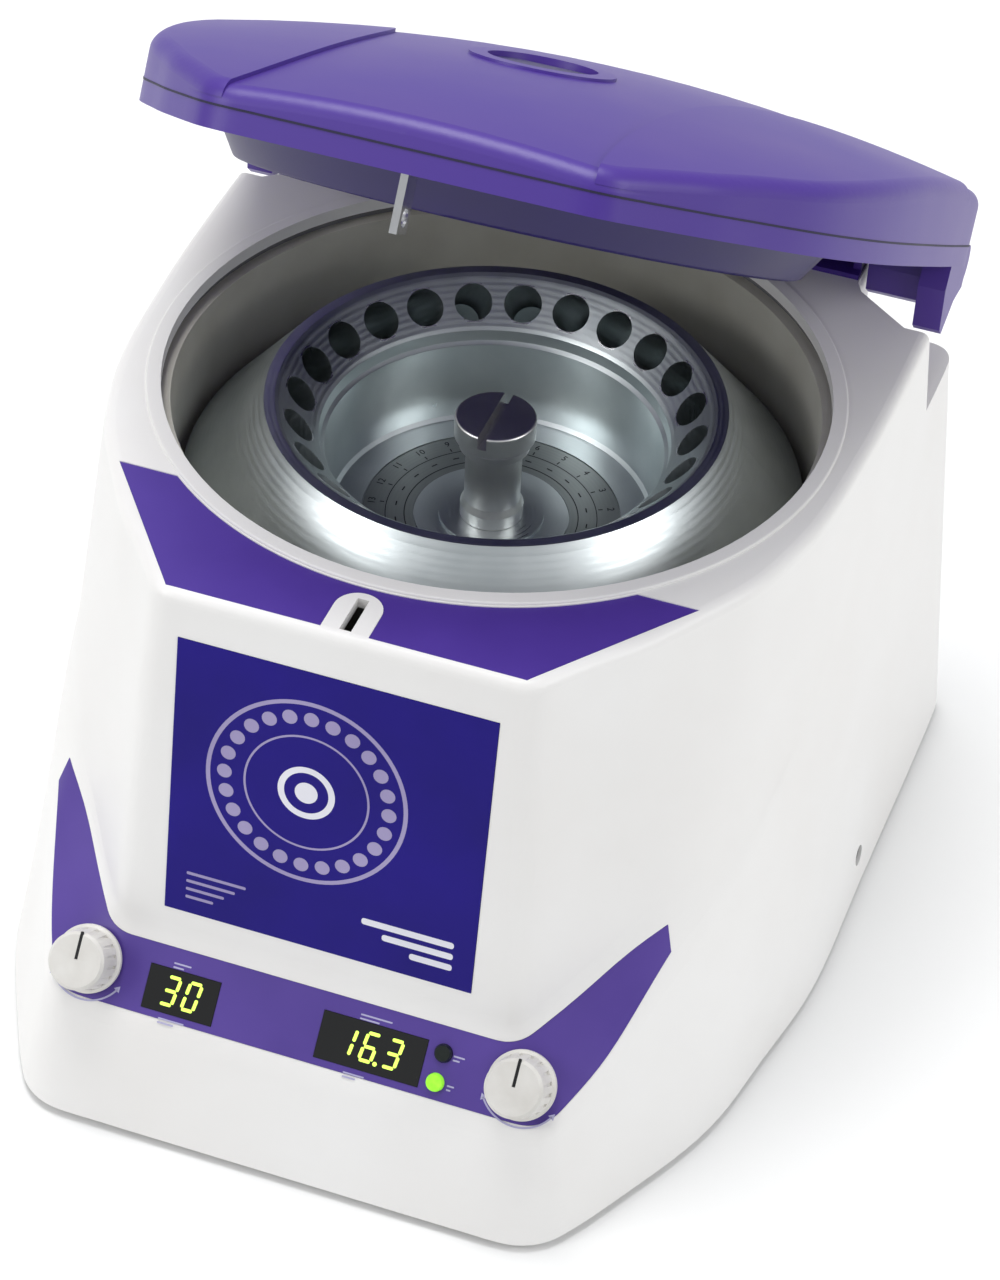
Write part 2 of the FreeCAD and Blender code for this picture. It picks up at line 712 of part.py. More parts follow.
# ---------------------------------------------------------------- rotor
# The top ring is a 45 degree cone square to the tube holes. Under it the casting is
# hollowed between the well and the holes.
rotor = turned("Rotor", [
    ("spindle_radius + 0.02", 104), (16, 104), (20, "rotor_base"), (53, "rotor_base"), (53, 132),
    (73, 112), (74, "rotor_base"), ("rotor_radius - 1", "rotor_base"), ("rotor_radius", 111),
    ("rotor_radius", 124), ("rotor_rim_radius", "rotor_rim_level"), (64.4, 151.6), (61.4, 151.6),
    ("mouth_radius + 5.4", "mouth_level + 5.4"), ("mouth_radius - 5", "mouth_level - 5"),
    (49.2, 139.6), (48.6, 136.6), (47.6, 135.6), (46, "well_floor + 1"), (45, "well_floor"),
    (37, "well_floor"), (37, "well_floor - 0.6"), (22, "well_floor - 0.6"), (22, "well_floor"),
    (15, "well_floor"), (15, 112), ("spindle_radius - 0.48", 112), ("spindle_radius + 0.02", 106),
])


def add_tube_holes(body):
    # one 45 degree hole with a conical end, repeated round the ring
    lean = V(math.sin(math.pi / 4), 0, -math.cos(math.pi / 4))
    side = V(math.cos(math.pi / 4), 0, math.sin(math.pi / 4))
    mouth = V(D["mouth_radius"], 0, D["mouth_level"])
    start, bottom = mouth - lean * 8, mouth + lean * D["tube_depth"]
    spots = [start, start + side * D["tube_bore"], bottom + side * D["tube_bore"]]
    spots += [bottom + lean * 2 + side * 1.5, bottom + lean * 2]
    sketch = plane_sketch(body, "XZ_Plane", "TubeHoleSection")
    count = len(spots)
    for i, spot in enumerate(spots):
        following = spots[(i + 1) % count]
        sketch.addGeometry(Part.LineSegment(V(spot.x, spot.z, 0), V(following.x, following.z, 0)), False)
    for i in range(count):
        sketch.addConstraint(Sketcher.Constraint("Coincident", i, 2, (i + 1) % count, 1))
    across = sketch.addConstraint(Sketcher.Constraint("Distance", 0, D["tube_bore"]))
    sketch.setExpression("Constraints[%d]" % across, bound("tube_bore"))
    deep = sketch.addConstraint(Sketcher.Constraint("Distance", 1, D["tube_depth"] + 8))
    sketch.setExpression("Constraints[%d]" % deep, bound("tube_depth + 8"))
    sketch.addGeometry(Part.LineSegment(V(start.x, start.z, 0), V(bottom.x, bottom.z, 0)), True)
    groove = body.newObject("PartDesign::Groove", "TubeHole")
    groove.Profile = sketch
    groove.ReferenceAxis = (sketch, ["Axis0"])
    groove.Angle = 360
    sketch.Visibility = False
    doc.recompute()
    repeat_round(body, groove, "tube_count")


add_tube_holes(rotor)
finish(rotor, "rotor_body", rotation=turn_about(AXIS_Z, D["rotor_turn"]))
finish(turned("LabelRing", [
    (22.2, "well_floor - 0.6"), (36.8, "well_floor - 0.6"), (36.8, "well_floor - 0.2"), (22.2, "well_floor - 0.2"),
]), "rotor_label_ring")
nut = turned("Nut", [
    ("thread_radius + running_gap", 118.5), ("thread_radius + running_gap", 138),
    (0, 138), (0, "nut_top"), ("nut_head_radius", "nut_top"), ("nut_head_radius", "nut_top - 6.5"),
    (10, "nut_top - 8"), (10, "nut_top - 10"), ("nut_stem_radius", "nut_top - 11.5"),
    ("nut_stem_radius", 118), ("nut_stem_radius + 1", 116), ("nut_stem_radius + 1", 112.1),
    (6.2, 112.1), (6.2, 118.5),
])
soften(nut, [("nut_head_radius", "nut_top"), ("nut_head_radius", "nut_top - 6.5")], 0.8)
slot_sketch = plane_sketch(nut, "XZ_Plane", "NutSlotSection")
draw_outline(slot_sketch, [(-1.3, "nut_top - 4"), (1.3, "nut_top - 4"), (1.3, "nut_top + 1"), (-1.3, "nut_top + 1")])
nut_slot = nut.newObject("PartDesign::Pocket", "NutSlot")
nut_slot.Profile = slot_sketch
nut_slot.Type = "ThroughAll"
nut_slot.Midplane = True
slot_sketch.Visibility = False
doc.recompute()
finish(nut, "rotor_nut")

# ---------------------------------------------------------------- boards and their parts
board_x, board_y, board_level = -106, -50, 20
board = cut("MainBoard", box("BoardSheet", 40, 96, 1.6, V(board_x, board_y, board_level)), [
    cylinder("BoardHole%d" % i, 1.6, 4, V(x, y, board_level - 1))
    for i, (x, y) in enumerate([(-102, -46), (-70, -46), (-102, 42), (-70, 42)])
])
finish(board, "main_board")
PAN_TOP = D["pan_level"] + D["pan_plate"]


def make_standoff():
    body = Part.makeCylinder(3, board_level - PAN_TOP)
    return body.fuse(Part.makeCylinder(1.5, 3, V(0, 0, board_level - PAN_TOP)))


shape_part("board_standoffs", copies(make_standoff(), [
    (x, y, PAN_TOP) for x, y in [(-102, -46), (-70, -46), (-102, 42), (-70, 42)]
]))


def make_transformer():
    # laminated core with a coil round its middle limb
    core = block(70, 102, -30, 12, PAN_TOP, PAN_TOP + 34)
    for z0 in (PAN_TOP + 7, PAN_TOP + 20):
        core = core.cut(block(69, 103, -20, 2, z0, z0 + 7))
    core = core.cut(block(69, 103, -20, -17, PAN_TOP + 7, PAN_TOP + 27))
    core = core.cut(block(69, 103, -1, 2, PAN_TOP + 7, PAN_TOP + 27))
    coil = block(66, 106, -19.5, 1.5, PAN_TOP + 7.5, PAN_TOP + 26.5)
    coil = coil.makeFillet(2, [e for e in coil.Edges if e.Length > 30])
    return core.fuse(coil).removeSplitter()


shape_part("transformer", make_transformer())


def make_capacitors():
    cans = []
    for x, y, radius, tall in ((-94, 22, 9, 26), (-76, 26, 7, 22), (-96, 2, 6, 18), (-80, 4, 8, 15)):
        can = Part.makeCylinder(radius, tall, V(x, y, board_level + 1.6))
        can = can.makeFillet(1, [e for e in can.Edges if e.BoundBox.ZMin > board_level + 5 and e.Closed])
        cans.append(can)
    return Part.makeCompound(cans)


shape_part("capacitors", make_capacitors())

BOARD_OUT = -12.0
shape_part("control_board", ledge_box(0, 0, 132, 22, BOARD_OUT - 1.6, BOARD_OUT))
window_depth = 0.9
for label, spot in (("time_display", TIME_DISPLAY), ("speed_display", SPEED_DISPLAY)):
    shape_part(label, ledge_box(*spot, BOARD_OUT, -window_depth))
shape_part("display_windows", Part.makeCompound([
    ledge_box(d[0], d[1], d[2], d[3], -window_depth, 0.3) for d in (TIME_DISPLAY, SPEED_DISPLAY)
]))
for label, (x, up) in LED_SPOTS.items():
    lens = ledge_rod(x, up, D["led_radius"], BOARD_OUT, 0.2)
    dome = Part.makeSphere(D["led_radius"], on_ledge(x, up, 0.2))
    dome = dome.common(ledge_rod(x, up, D["led_radius"], 0.2, 1.6))
    shape_part(label, lens.fuse(dome).removeSplitter())

# ---------------------------------------------------------------- push and turn controls
SIDES = {"time": -D["knob_spread"], "speed": D["knob_spread"]}
CAN_OUT, SHAFT_END, KNOB_BASE = -4.6, -8.5, 1.1


def make_encoder(x):
    # can with a threaded bush, hollow for the push carrier and the shaft's foot
    can = ledge_box(x, KNOB_UP, 12.5, 12.5, BOARD_OUT, CAN_OUT)
    bush = ledge_rod(x, KNOB_UP, 3.5, CAN_OUT, 0.2)
    bore = ledge_rod(x, KNOB_UP, D["shaft_radius"] - 0.5 + D["running_gap"], -11.8, 1)
    hollow = ledge_rod(x, KNOB_UP, 4.6, -11.0, -6.0)
    return can.fuse(bush).cut([bore, hollow])


def make_carrier(x):
    disc = ledge_rod(x, KNOB_UP, 4.3, -9.9, SHAFT_END - 0.1)
    return disc


def make_shaft(x):
    stem = ledge_rod(x, KNOB_UP, D["shaft_radius"] - 0.5, SHAFT_END, 9)
    collar = ledge_rod(x, KNOB_UP, 4.3, SHAFT_END, -7.2)
    flat = ledge_box(x + 4, KNOB_UP, 4.8, 8, 2.5, 9.5)
    return stem.fuse(collar).cut(flat)


def make_knob(x):
    # fluted cap with a thin skirt and a line for a pointer
    radius, tall = D["knob_radius"], D["knob_height"]
    section = [
        (0, 0), (radius, 0), (radius, 1.2), (radius - 0.8, 1.8), (radius - 1.5, tall - 0.8),
        (radius - 2.3, tall), (0, tall),
    ]
    face = Part.Face(Part.makePolygon([V(r, 0, z) for r, z in section + section[:1]]))
    body = face.revolve(V(), AXIS_Z, 360)
    flute = Part.makeCylinder(0.55, tall, V(radius - 0.9, 0, 2.4))
    flutes = [flute.rotated(V(), AXIS_Z, 20 * i) for i in range(18)]
    pointer = block(-0.45, 0.45, 0.5, radius - 1, tall - 0.5, tall + 1)
    shaft_bore = Part.makeCylinder(D["shaft_radius"] - 0.5, 8)
    shaft_bore = shaft_bore.cut(block(1.6, 4, -4, 4, 1.4, 9))
    hollow = Part.makeCylinder(radius - 2.8, 5).cut(Part.makeCylinder(4.2, 5))
    body = body.cut(flutes + [pointer, shaft_bore, hollow])
    body.Placement = FreeCAD.Placement(on_ledge(x, KNOB_UP, KNOB_BASE), LEDGE_TILT)
    return body


for label, x in SIDES.items():
    shape_part(label + "_encoder", make_encoder(x))
    shape_part(label + "_push_carrier", make_carrier(x))
    shape_part(label + "_shaft", make_shaft(x))
    shape_part(label + "_knob", make_knob(x))

# ---------------------------------------------------------------- lid
# Modelled shut, in the housing's frame, then swung open about the hinge.
RIM, SEAM = D["lid_rim"], D["lid_seam"]
EYE_LEVEL = 148.5  # eye of the striker with the lid shut
LID_EDGE = {
    "corner": V(51, -118, RIM),
    "setback": 7,
    "side": [
        V(62, -104, RIM), V(73, -89, RIM), V(81, -75, RIM), V(88, -63, RIM), V(93, -51, RIM),
        V(97, -37, RIM), V(100.5, -20, RIM), V(103, 0, RIM), V(105, 30, RIM), V(106.5, 60, RIM),
        V(107, 92, RIM),
    ],
    "rear": V(107, 108, RIM),
}
LID_LINE = stations(LID_EDGE)


def lid_prism(amount, z0, z1):
    edge = inset(LID_LINE, amount, z0)
    return cap(smooth(edge, pace([LID_LINE]))).extrude(V(0, 0, z1 - z0))


def dome_height(x, y):
    # crown of the lid: highest along the middle, falling to the sides, front and rear
    rise = D["dome_rise"] - 11.5 * (x / 105) ** 2
    if y < 60:
        rise -= 21 * ((60 - y) / 178) ** 2
    else:
        rise -= 2 * ((y - 60) / 50) ** 2
    return RIM + rise


def above_dome(drop):
    # everything over the crown surface, lowered by drop
    spots = []
    for i in range(13):
        x = -132 + 22 * i
        spots.append([V(x, y, dome_height(x, y) - drop) for y in range(-144, 145, 24)])
    surface = Part.BSplineSurface()
    surface.interpolate(spots)
    return surface.toShape().extrude(V(0, 0, 120))


CHEEK = [
    (49, -128), (45, -96), (44, -50), (46, -10), (52, 25), (62, 48), (80, 66), (130, 84), (130, -128),
]


def crown_solid(extra):
    # the lid's outer form, with its crown raised by extra and a rounded top edge
    crown = lid_prism(0.0, SEAM, SEAM + 60).cut(above_dome(-extra))
    tops = [
        e for e in crown.Edges
        if e.BoundBox.ZMin > SEAM + 0.5 and e.BoundBox.XLength + e.BoundBox.YLength > 1
    ]
    return crown.makeFillet(5, tops)


def make_cheek():
    # raised side panel of the crown
    loop = [V(x, y, SEAM + 2) for x, y in CHEEK]
    edge = Part.BSplineCurve()
    edge.interpolate(loop[:-1])
    back = Part.makePolygon([loop[-2], loop[-1], loop[0]])
    column = Part.Face(Part.Wire([edge.toShape()] + back.Edges)).extrude(V(0, 0, 60))
    return crown_solid(1.1).common(column)


def make_lid_shell():
    crown = crown_solid(0)
    for side in both_sides(make_cheek()):
        crown = crown.fuse(side)
    hollow = lid_prism(D["lid_wall"], SEAM - 1, SEAM + 60).cut(above_dome(D["lid_wall"]))
    ring = Part.makeCylinder(D["port_radius"] + 5, 30, V(0, -8, SEAM + 10))
    ring = ring.cut(above_dome(-0.8))
    crown = crown.cut(hollow).fuse(ring.cut(hollow))
    tools = [Part.makeCylinder(D["port_radius"], 60, V(0, -8, SEAM))]
    for x, y in LID_SCREW_SPOTS:
        crown = crown.fuse(Part.makeCylinder(4, 8, V(x, y, SEAM + 0.05)))
        tools.append(Part.makeCylinder(1.4, 6, V(x, y, SEAM)))
    return crown.cut(tools)


LID_SCREW_SPOTS = [(60, -84), (-60, -84), (98, 20), (-98, 20), (45, 101.5), (-45, 101.5)]


def arm_profile(points, x0, x1):
    face = Part.Face(Part.makePolygon([V(x0, y, z) for y, z in points + points[:1]]))
    return face.extrude(V(x1 - x0, 0, 0))


def make_lid_arm():
    # hinge arm at the rear corner: an outer cheek with a long toe and a shorter inner web
    hy, hz = D["hinge_y"], D["hinge_level"]
    outer = arm_profile(
        [(78, RIM + 3), (77.5, 152), (84, 140.5), (88, 139.5), (98, 149), (108, 153), (108, RIM + 3)], 98.5, 106.5
    )
    inner = arm_profile(
        [(87, RIM + 3), (87.5, 154), (92, 147), (98, 146), (104, 150), (108, 153), (108, RIM + 3)], 81.8, 98.5
    )
    boss = Part.makeCylinder(6.5, 24.7, V(81.8, hy, hz), AXIS_X)
    under_shell = block(80, 110, 70, 115, RIM - 25, SEAM)
    return outer.fuse([inner, boss]).common(under_shell)


def make_lid_frame():
    rim = lid_prism(0.0, RIM, SEAM).cut(lid_prism(3.0, RIM - 1, RIM + 2.0))
    tray = lid_prism(3.2, RIM + 4.2, SEAM + 1)
    frame = rim.cut(tray)
    tools = [Part.makeCylinder(86.3, 20, V(0, 0, RIM - 5))]
    tools += both_sides(block(55, 81.3, 80, 114, RIM - 5, SEAM + 2))
    tools.append(block(-1.05, 1.05, D["slot_y"] - 4, D["slot_y"] + 4, RIM - 1, SEAM))
    for x, y in LID_SCREW_SPOTS:
        tools.append(Part.makeCylinder(1.6, 20, V(x, y, RIM - 5)))
    tools.append(Part.makeCylinder(D["seal_radius"] + 2.2, 1.0, V(0, 0, RIM + 1.4)).cut(
        Part.makeCylinder(D["seal_radius"] - 2.2, 1.0, V(0, 0, RIM + 1.4))))
    frame = frame.cut(tools)
    for arm in both_sides(make_lid_arm()):
        frame = frame.fuse(arm)
    bores = both_sides(Part.makeCylinder(
        D["pin_radius"] + D["running_gap"], 25, V(80, D["hinge_y"], D["hinge_level"]), AXIS_X))
    return frame.cut(bores)


LID_PARTS = {"open_lid": True}
shape_part("lid_shell", make_lid_shell(), **LID_PARTS)
shape_part("lid_frame", make_lid_frame(), **LID_PARTS)
liner = turned("Liner", [
    (14, 156), (68, 156), (70, "liner_level"), ("liner_radius", "liner_level"), (86, 162),
    (86, 163.5), (90.5, 163.5), (90.5, 165.0), (84.6, 165.0), (84.6, 163),
    ("liner_radius - 1.2", "liner_level + 2"), (71.6, "liner_level + 2"), (69.6, 158), (14, 158),
])
soften(liner, [("liner_radius", "liner_level"), (70, "liner_level")], 1.5)
finish(liner, "lid_liner", **LID_PARTS)
finish(turned("LidSeal", [
    ("seal_radius - 2.1", "lid_rim + 1.5"), ("seal_radius - 2.1", "lid_rim + 0.6"),
    ("seal_radius - 1.3", "lid_rim + 0.2"), ("seal_radius + 1.3", "lid_rim + 0.2"),
    ("seal_radius + 2.1", "lid_rim + 0.6"), ("seal_radius + 2.1", "lid_rim + 1.5"),
]), "lid_seal", **LID_PARTS)
finish(turned("LinerWindow", [(0, 158), (17, 158), (17, 159.5), (0, 159.5)]), "liner_window", **LID_PARTS)


def make_lid_port():
    # round lens let into the crown
    lens = Part.makeCylinder(D["port_radius"] - 0.1, 30, V(0, -8, SEAM + 10))
    lens = lens.cut(above_dome(0.6))
    return lens.common(Part.makeCylinder(D["port_radius"], 4, V(0, -8, dome_height(0, -8) - 4)))


def make_striker():
    # steel blade with an eye for the hook, on a foot screwed to the lid frame
    y0, y1 = D["slot_y"] - 4, D["slot_y"] + 4
    blade = block(-1, 1, y0, y1, EYE_LEVEL - 4, SEAM - 0.3)
    blade = blade.cut(Part.makeCylinder(2.4, 6, V(-3, D["slot_y"], EYE_LEVEL), AXIS_X))
    foot = block(-9, 9, y0, y1, 163.6, SEAM - 0.3)
    return blade.fuse(foot).removeSplitter()


shape_part("lid_port", make_lid_port(), **LID_PARTS)
shape_part("latch_striker", make_striker(), **LID_PARTS)
shape_part("lid_screws", copies(
    make_screw(3.0, 1.6, 1.3, 8), [(x, y, RIM + 2) for x, y in LID_SCREW_SPOTS]
), **LID_PARTS)


# ---------------------------------------------------------------- hinge and latch
def make_hinge_bracket():
    # angle bracket on the deck whose ear carries the pin
    hy, hz = D["hinge_y"], D["hinge_level"]
    foot = block(58, 79.6, 85, 99, LEVEL, LEVEL + 1.6)
    ear = block(77.2, 79.6, 88, hy, LEVEL, hz + 3.4)
    ear = ear.fuse(Part.makeCylinder(4.6, 2.4, V(77.2, hy, hz), AXIS_X))
    whole = foot.fuse(ear).removeSplitter()
    return whole.cut(Part.makeCylinder(D["pin_radius"], 10, V(74, hy, hz), AXIS_X))


shape_part("hinge_bracket_right", make_hinge_bracket())
shape_part("hinge_bracket_left", mirrored(make_hinge_bracket()))
pin = Part.makeCylinder(D["pin_radius"], 28.8, V(76, D["hinge_y"], D["hinge_level"]), AXIS_X)
shape_part("hinge_pins", Part.makeCompound(both_sides(pin)))

HOOK_X, HOOK_LEVEL = 11.0, 139.0  # hook's pivot, its axis along y
PULL_LEVEL = 127.0
HOOK_SWING = 18.0
PULL_STROKE = (HOOK_LEVEL - PULL_LEVEL) * math.sin(math.radians(HOOK_SWING))


def make_latch_frame():
    # bracket under the deck: the hook's pivot between two cheeks, and a web for the solenoid
    y = D["slot_y"]
    cheeks = [block(4, 20, y + s - 0.6, y + s + 0.6, 134, 155.5) for s in (-5, 5)]
    web = block(18.8, 20, y - 5.6, y + 5.6, 118, 155.5)
    web = web.cut(Part.makeCylinder(3.9, 4, V(17, y, PULL_LEVEL), AXIS_X))
    pivot = Part.makeCylinder(1.5, 11.2, V(HOOK_X, y - 5.6, HOOK_LEVEL), AXIS_Y)
    return cheeks[0].fuse([cheeks[1], web, pivot])


def make_latch_hook():
    # lever drawn latched, its nose through the striker's eye, then swung back to rest
    y = D["slot_y"]
    arm = block(HOOK_X - 2.2, HOOK_X + 2.2, y - 1.5, y + 1.5, PULL_LEVEL - 2, EYE_LEVEL + 1.3)
    nose = block(-1.8, HOOK_X, y - 1.4, y + 1.4, EYE_LEVEL - 1.3, EYE_LEVEL + 1.3)
    hub = Part.makeCylinder(3.6, 6, V(HOOK_X, y - 3, HOOK_LEVEL), AXIS_Y)
    bore = Part.makeCylinder(1.5 + D["running_gap"], 12, V(HOOK_X, y - 6, HOOK_LEVEL), AXIS_Y)
    slot = block(HOOK_X - 0.8, HOOK_X + 0.8, y - 2, y + 2, PULL_LEVEL - 1.2, PULL_LEVEL + 1.2)
    body = arm.fuse([nose, hub]).cut([bore, slot])
    return body.rotated(V(HOOK_X, y, HOOK_LEVEL), AXIS_Y, HOOK_SWING)


shape_part("latch_frame", make_latch_frame())
shape_part("latch_hook", make_latch_hook())
solenoid = cut(
    "SolenoidCoil",
    box("SolenoidBlock", 26, 16, 18, V(20, D["slot_y"] - 8, PULL_LEVEL - 9)),
    [cylinder("SolenoidBore", 3.3, 30, V(19, D["slot_y"], PULL_LEVEL), turn_about(AXIS_Y, 90))],
)
finish(solenoid, "latch_solenoid")


def make_plunger():
    # steel core with a fork either side of the hook's pull arm, drawn pulled in
    y = D["slot_y"]
    core = Part.makeCylinder(3.3 - D["running_gap"], 25, V(18.8, y, PULL_LEVEL), AXIS_X)
    low, high = PULL_LEVEL - 1.8, PULL_LEVEL + 1.8
    tongues = [block(9.2, 19.4, y + s - 0.5, y + s + 0.5, low, high) for s in (-2.4, 2.4)]
    across = Part.makeCylinder(0.6, 5.6, V(HOOK_X, y - 2.8, PULL_LEVEL + 0.2), AXIS_Y)
    return core.fuse(tongues + [across]).translated(V(-PULL_STROKE, 0, 0))


shape_part("latch_plunger", make_plunger())
switch_body = block(-22, -4.5, D["slot_y"] - 3, D["slot_y"] + 3, 143, 153)
switch_lever = block(-19, -3.2, D["slot_y"] - 2, D["slot_y"] + 2, 153.6, 154)
switch_lever = switch_lever.fuse(block(-19, -18, D["slot_y"] - 2, D["slot_y"] + 2, 152.5, 154))
shape_part("lid_switch", switch_body.fuse(switch_lever))


def make_release_button():
    # stepped pin kept in by its flange, seen through the hole in the side
    axis = (D["release_y"], D["release_level"])
    steps = ((2.9, 113.3, 116.2), (4.6, 111.8, 113.3), (2.0, 106, 111.8))
    rods = [Part.makeCylinder(r, x1 - x0, V(x0, *axis), AXIS_X) for r, x0, x1 in steps]
    return rods[0].fuse(rods[1:])


shape_part("release_button", make_release_button())


# ---------------------------------------------------------------- rear power module
def make_power_inlet():
    # moulded module: appliance inlet, fuse drawer's slot and the rocker's well
    body = block(-75, -20, 80, 104.2, 19, 49)
    flange = block(-79, -16, 102.8, 104.8, 15, 53)
    flange = flange.makeFillet(3, [e for e in flange.Edges if e.BoundBox.YLength > 1.9])
    cavity = block(-71.5, -48.5, 87, 107, 30.5, 45.5)
    slots = [cavity, block(-70.4, -49.6, 83, 107, 20.6, 28.4), block(-38.4, -23.6, 88, 107, 23.6, 44.4)]
    shape = body.fuse(flange).cut(slots)
    for x, z in ((-66, 36), (-60, 40), (-54, 36)):
        shape = shape.fuse(block(x - 1, x + 1, 86, 101, z - 2, z + 2))
    return shape


def make_rocker():
    # two faced rocker on cross pivots, pressed in at its foot
    points = [(93, 29), (93, 39), (105.6, 43), (103.4, 34), (105.6, 25)]
    body = arm_profile(points, -38, -24)
    pivot = Part.makeCylinder(1.5, 14.7, V(-38.35, 98, 34), AXIS_X)
    return body.fuse(pivot).rotated(V(0, 98, 34), AXIS_X, 8)


def make_fuse_drawer():
    # little drawer with its pull lip and a hollow for two fuses
    body = block(-70.1, -49.9, 84, 105.3, 20.9, 28.1).fuse(block(-72, -48, 105.3, 107, 20.0, 28.6))
    return body.cut([block(-68.5, -60.8, 85.5, 103, 22.4, 29), block(-59.2, -51.5, 85.5, 103, 22.4, 29)])


shape_part("power_inlet", make_power_inlet())
shape_part("power_switch", make_rocker())
shape_part("fuse_drawer", make_fuse_drawer())


def make_cable(points, radius, thickness):
    # lead of straight runs joined by tangent arcs
    edges, here = [], points[0]
    for before, corner, after in zip(points, points[1:], points[2:]):
        into, out = toward(before, corner), toward(corner, after)
        half = into.getAngle(out) / 2
        reach = radius * math.tan(half)
        start, end = corner - into * reach, corner + out * reach
        middle_way = (out - into).normalize()
        middle = corner + middle_way * (radius / math.cos(half) - radius)
        edges += [Part.makeLine(here, start), Part.Arc(start, middle, end).toShape()]
        here = end
    edges.append(Part.makeLine(here, points[-1]))
    wire = Part.Wire(edges)
    ring = Part.Wire(Part.makeCircle(thickness, points[0], toward(points[0], points[1])))
    return wire.makePipeShell([ring], True, False)


CABLE_ROUTE = [V(-36.2, 0, 58), V(-60, 0, 58), V(-86, -12, 52), V(-86, -22, 22.5)]
shape_part("motor_cable", make_cable(CABLE_ROUTE, 9, 2.2))


# ---------------------------------------------------------------- checks and files
def check_and_write():
    doc.recompute()
    for item in doc.Objects:
        if "Invalid" in item.State or "Error" in item.State:
            raise RuntimeError("failed feature: %s" % item.Name)
    os.makedirs("parts", exist_ok=True)
    for piece in sub_parts:
        shape = piece.Shape
        if shape.isNull() or not shape.isValid() or not shape.Solids:
            raise RuntimeError("bad shape: %s" % piece.Label)
        shape.exportStep(os.path.join("parts", piece.Label + ".step"))


check_and_write()
print("sub-parts:", len(sub_parts))
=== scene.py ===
import bpy
import json
import math
from mathutils import Matrix, Quaternion, Vector

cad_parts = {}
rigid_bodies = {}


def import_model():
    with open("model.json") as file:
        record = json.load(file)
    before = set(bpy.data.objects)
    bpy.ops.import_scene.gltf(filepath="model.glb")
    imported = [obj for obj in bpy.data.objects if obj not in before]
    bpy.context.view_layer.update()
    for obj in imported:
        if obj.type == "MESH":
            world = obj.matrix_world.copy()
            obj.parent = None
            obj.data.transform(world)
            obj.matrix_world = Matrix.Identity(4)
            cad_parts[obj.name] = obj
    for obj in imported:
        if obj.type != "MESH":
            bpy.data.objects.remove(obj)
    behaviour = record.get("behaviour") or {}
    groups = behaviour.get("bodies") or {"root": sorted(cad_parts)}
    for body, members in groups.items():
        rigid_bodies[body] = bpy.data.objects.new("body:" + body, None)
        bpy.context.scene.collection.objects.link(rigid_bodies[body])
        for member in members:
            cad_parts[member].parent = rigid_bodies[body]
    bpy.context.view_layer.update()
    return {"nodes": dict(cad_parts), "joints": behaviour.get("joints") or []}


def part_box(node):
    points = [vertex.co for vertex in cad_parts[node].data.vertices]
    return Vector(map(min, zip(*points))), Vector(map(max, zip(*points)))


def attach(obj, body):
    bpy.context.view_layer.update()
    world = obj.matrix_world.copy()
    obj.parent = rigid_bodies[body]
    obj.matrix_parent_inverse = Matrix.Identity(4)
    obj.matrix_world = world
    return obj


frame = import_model()
nodes = frame["nodes"]
joints = {joint["name"]: joint for joint in frame["joints"]}
mm = 0.001
xAxis, zAxis = Vector((1, 0, 0)), Vector((0, 0, 1))
print("frame loaded:", len(nodes), "nodes")


# small tools
def deselectAll():
    bpy.ops.object.select_all(action="DESELECT")


def pick(*objects):
    # selects these objects and makes the first one active
    deselectAll()
    for obj in objects:
        obj.select_set(True)
    bpy.context.view_layer.objects.active = objects[0]


def toLinear(hexCode, alpha=1.0):
    # sRGB hex to the linear colour a shader wants
    channels = [int(hexCode[i:i + 2], 16) / 255 for i in (1, 3, 5)]
    linear = [c / 12.92 if c <= 0.04045 else ((c + 0.055) / 1.055) ** 2.4 for c in channels]
    return (*linear, alpha)


def addNode(tree, kind, settings=None, links=None):
    # a node with its own settings in lower case and its sockets in capitals or numbers
    node = tree.nodes.new(kind)
    for key, value in (settings or {}).items():
        if isinstance(key, int) or key[0].isupper():
            node.inputs[key].default_value = value
        else:
            setattr(node, key, value)
    for key, socket in (links or {}).items():
        tree.links.new(socket, node.inputs[key])
    return node


def startMaterial(name, sockets):
    # a material with its shader's own sockets set, and Object coordinates to draw on
    material = bpy.data.materials.new(name)
    material.use_nodes = True
    tree = material.node_tree
    shader = tree.nodes["Principled BSDF"]
    for key, value in sockets.items():
        shader.inputs[key].default_value = value
    place = addNode(tree, "ShaderNodeTexCoord").outputs["Object"]
    material.diffuse_color = sockets.get("Base Color", (0.8, 0.8, 0.8, 1))
    return material, tree, shader, place


def varyColour(tree, shader, factor, low, high):
    # blends two shades of the base colour by a pattern
    ramp = addNode(tree, "ShaderNodeValToRGB", links={"Fac": factor})
    ramp.color_ramp.elements[0].position, ramp.color_ramp.elements[1].position = 0.3, 0.7
    ramp.color_ramp.elements[0].color = toLinear(low)
    ramp.color_ramp.elements[1].color = toLinear(high)
    tree.links.new(ramp.outputs["Color"], shader.inputs["Base Color"])


def varyRoughness(tree, shader, factor, low, high):
    spread = addNode(tree, "ShaderNodeMapRange", {"To Min": low, "To Max": high}, {"Value": factor})
    tree.links.new(spread.outputs["Result"], shader.inputs["Roughness"])


def raiseBump(tree, shader, height, depthMm, strength):
    bump = addNode(tree, "ShaderNodeBump", {"Strength": strength, "Distance": depthMm * mm},
                   {"Height": height})
    tree.links.new(bump.outputs["Normal"], shader.inputs["Normal"])


def noiseAt(tree, place, sizeMm, detail=3.0):
    # noise whose blobs are about sizeMm across
    return addNode(tree, "ShaderNodeTexNoise", {"Scale": 1 / (sizeMm * mm), "Detail": detail},
                   {"Vector": place}).outputs["Fac"]


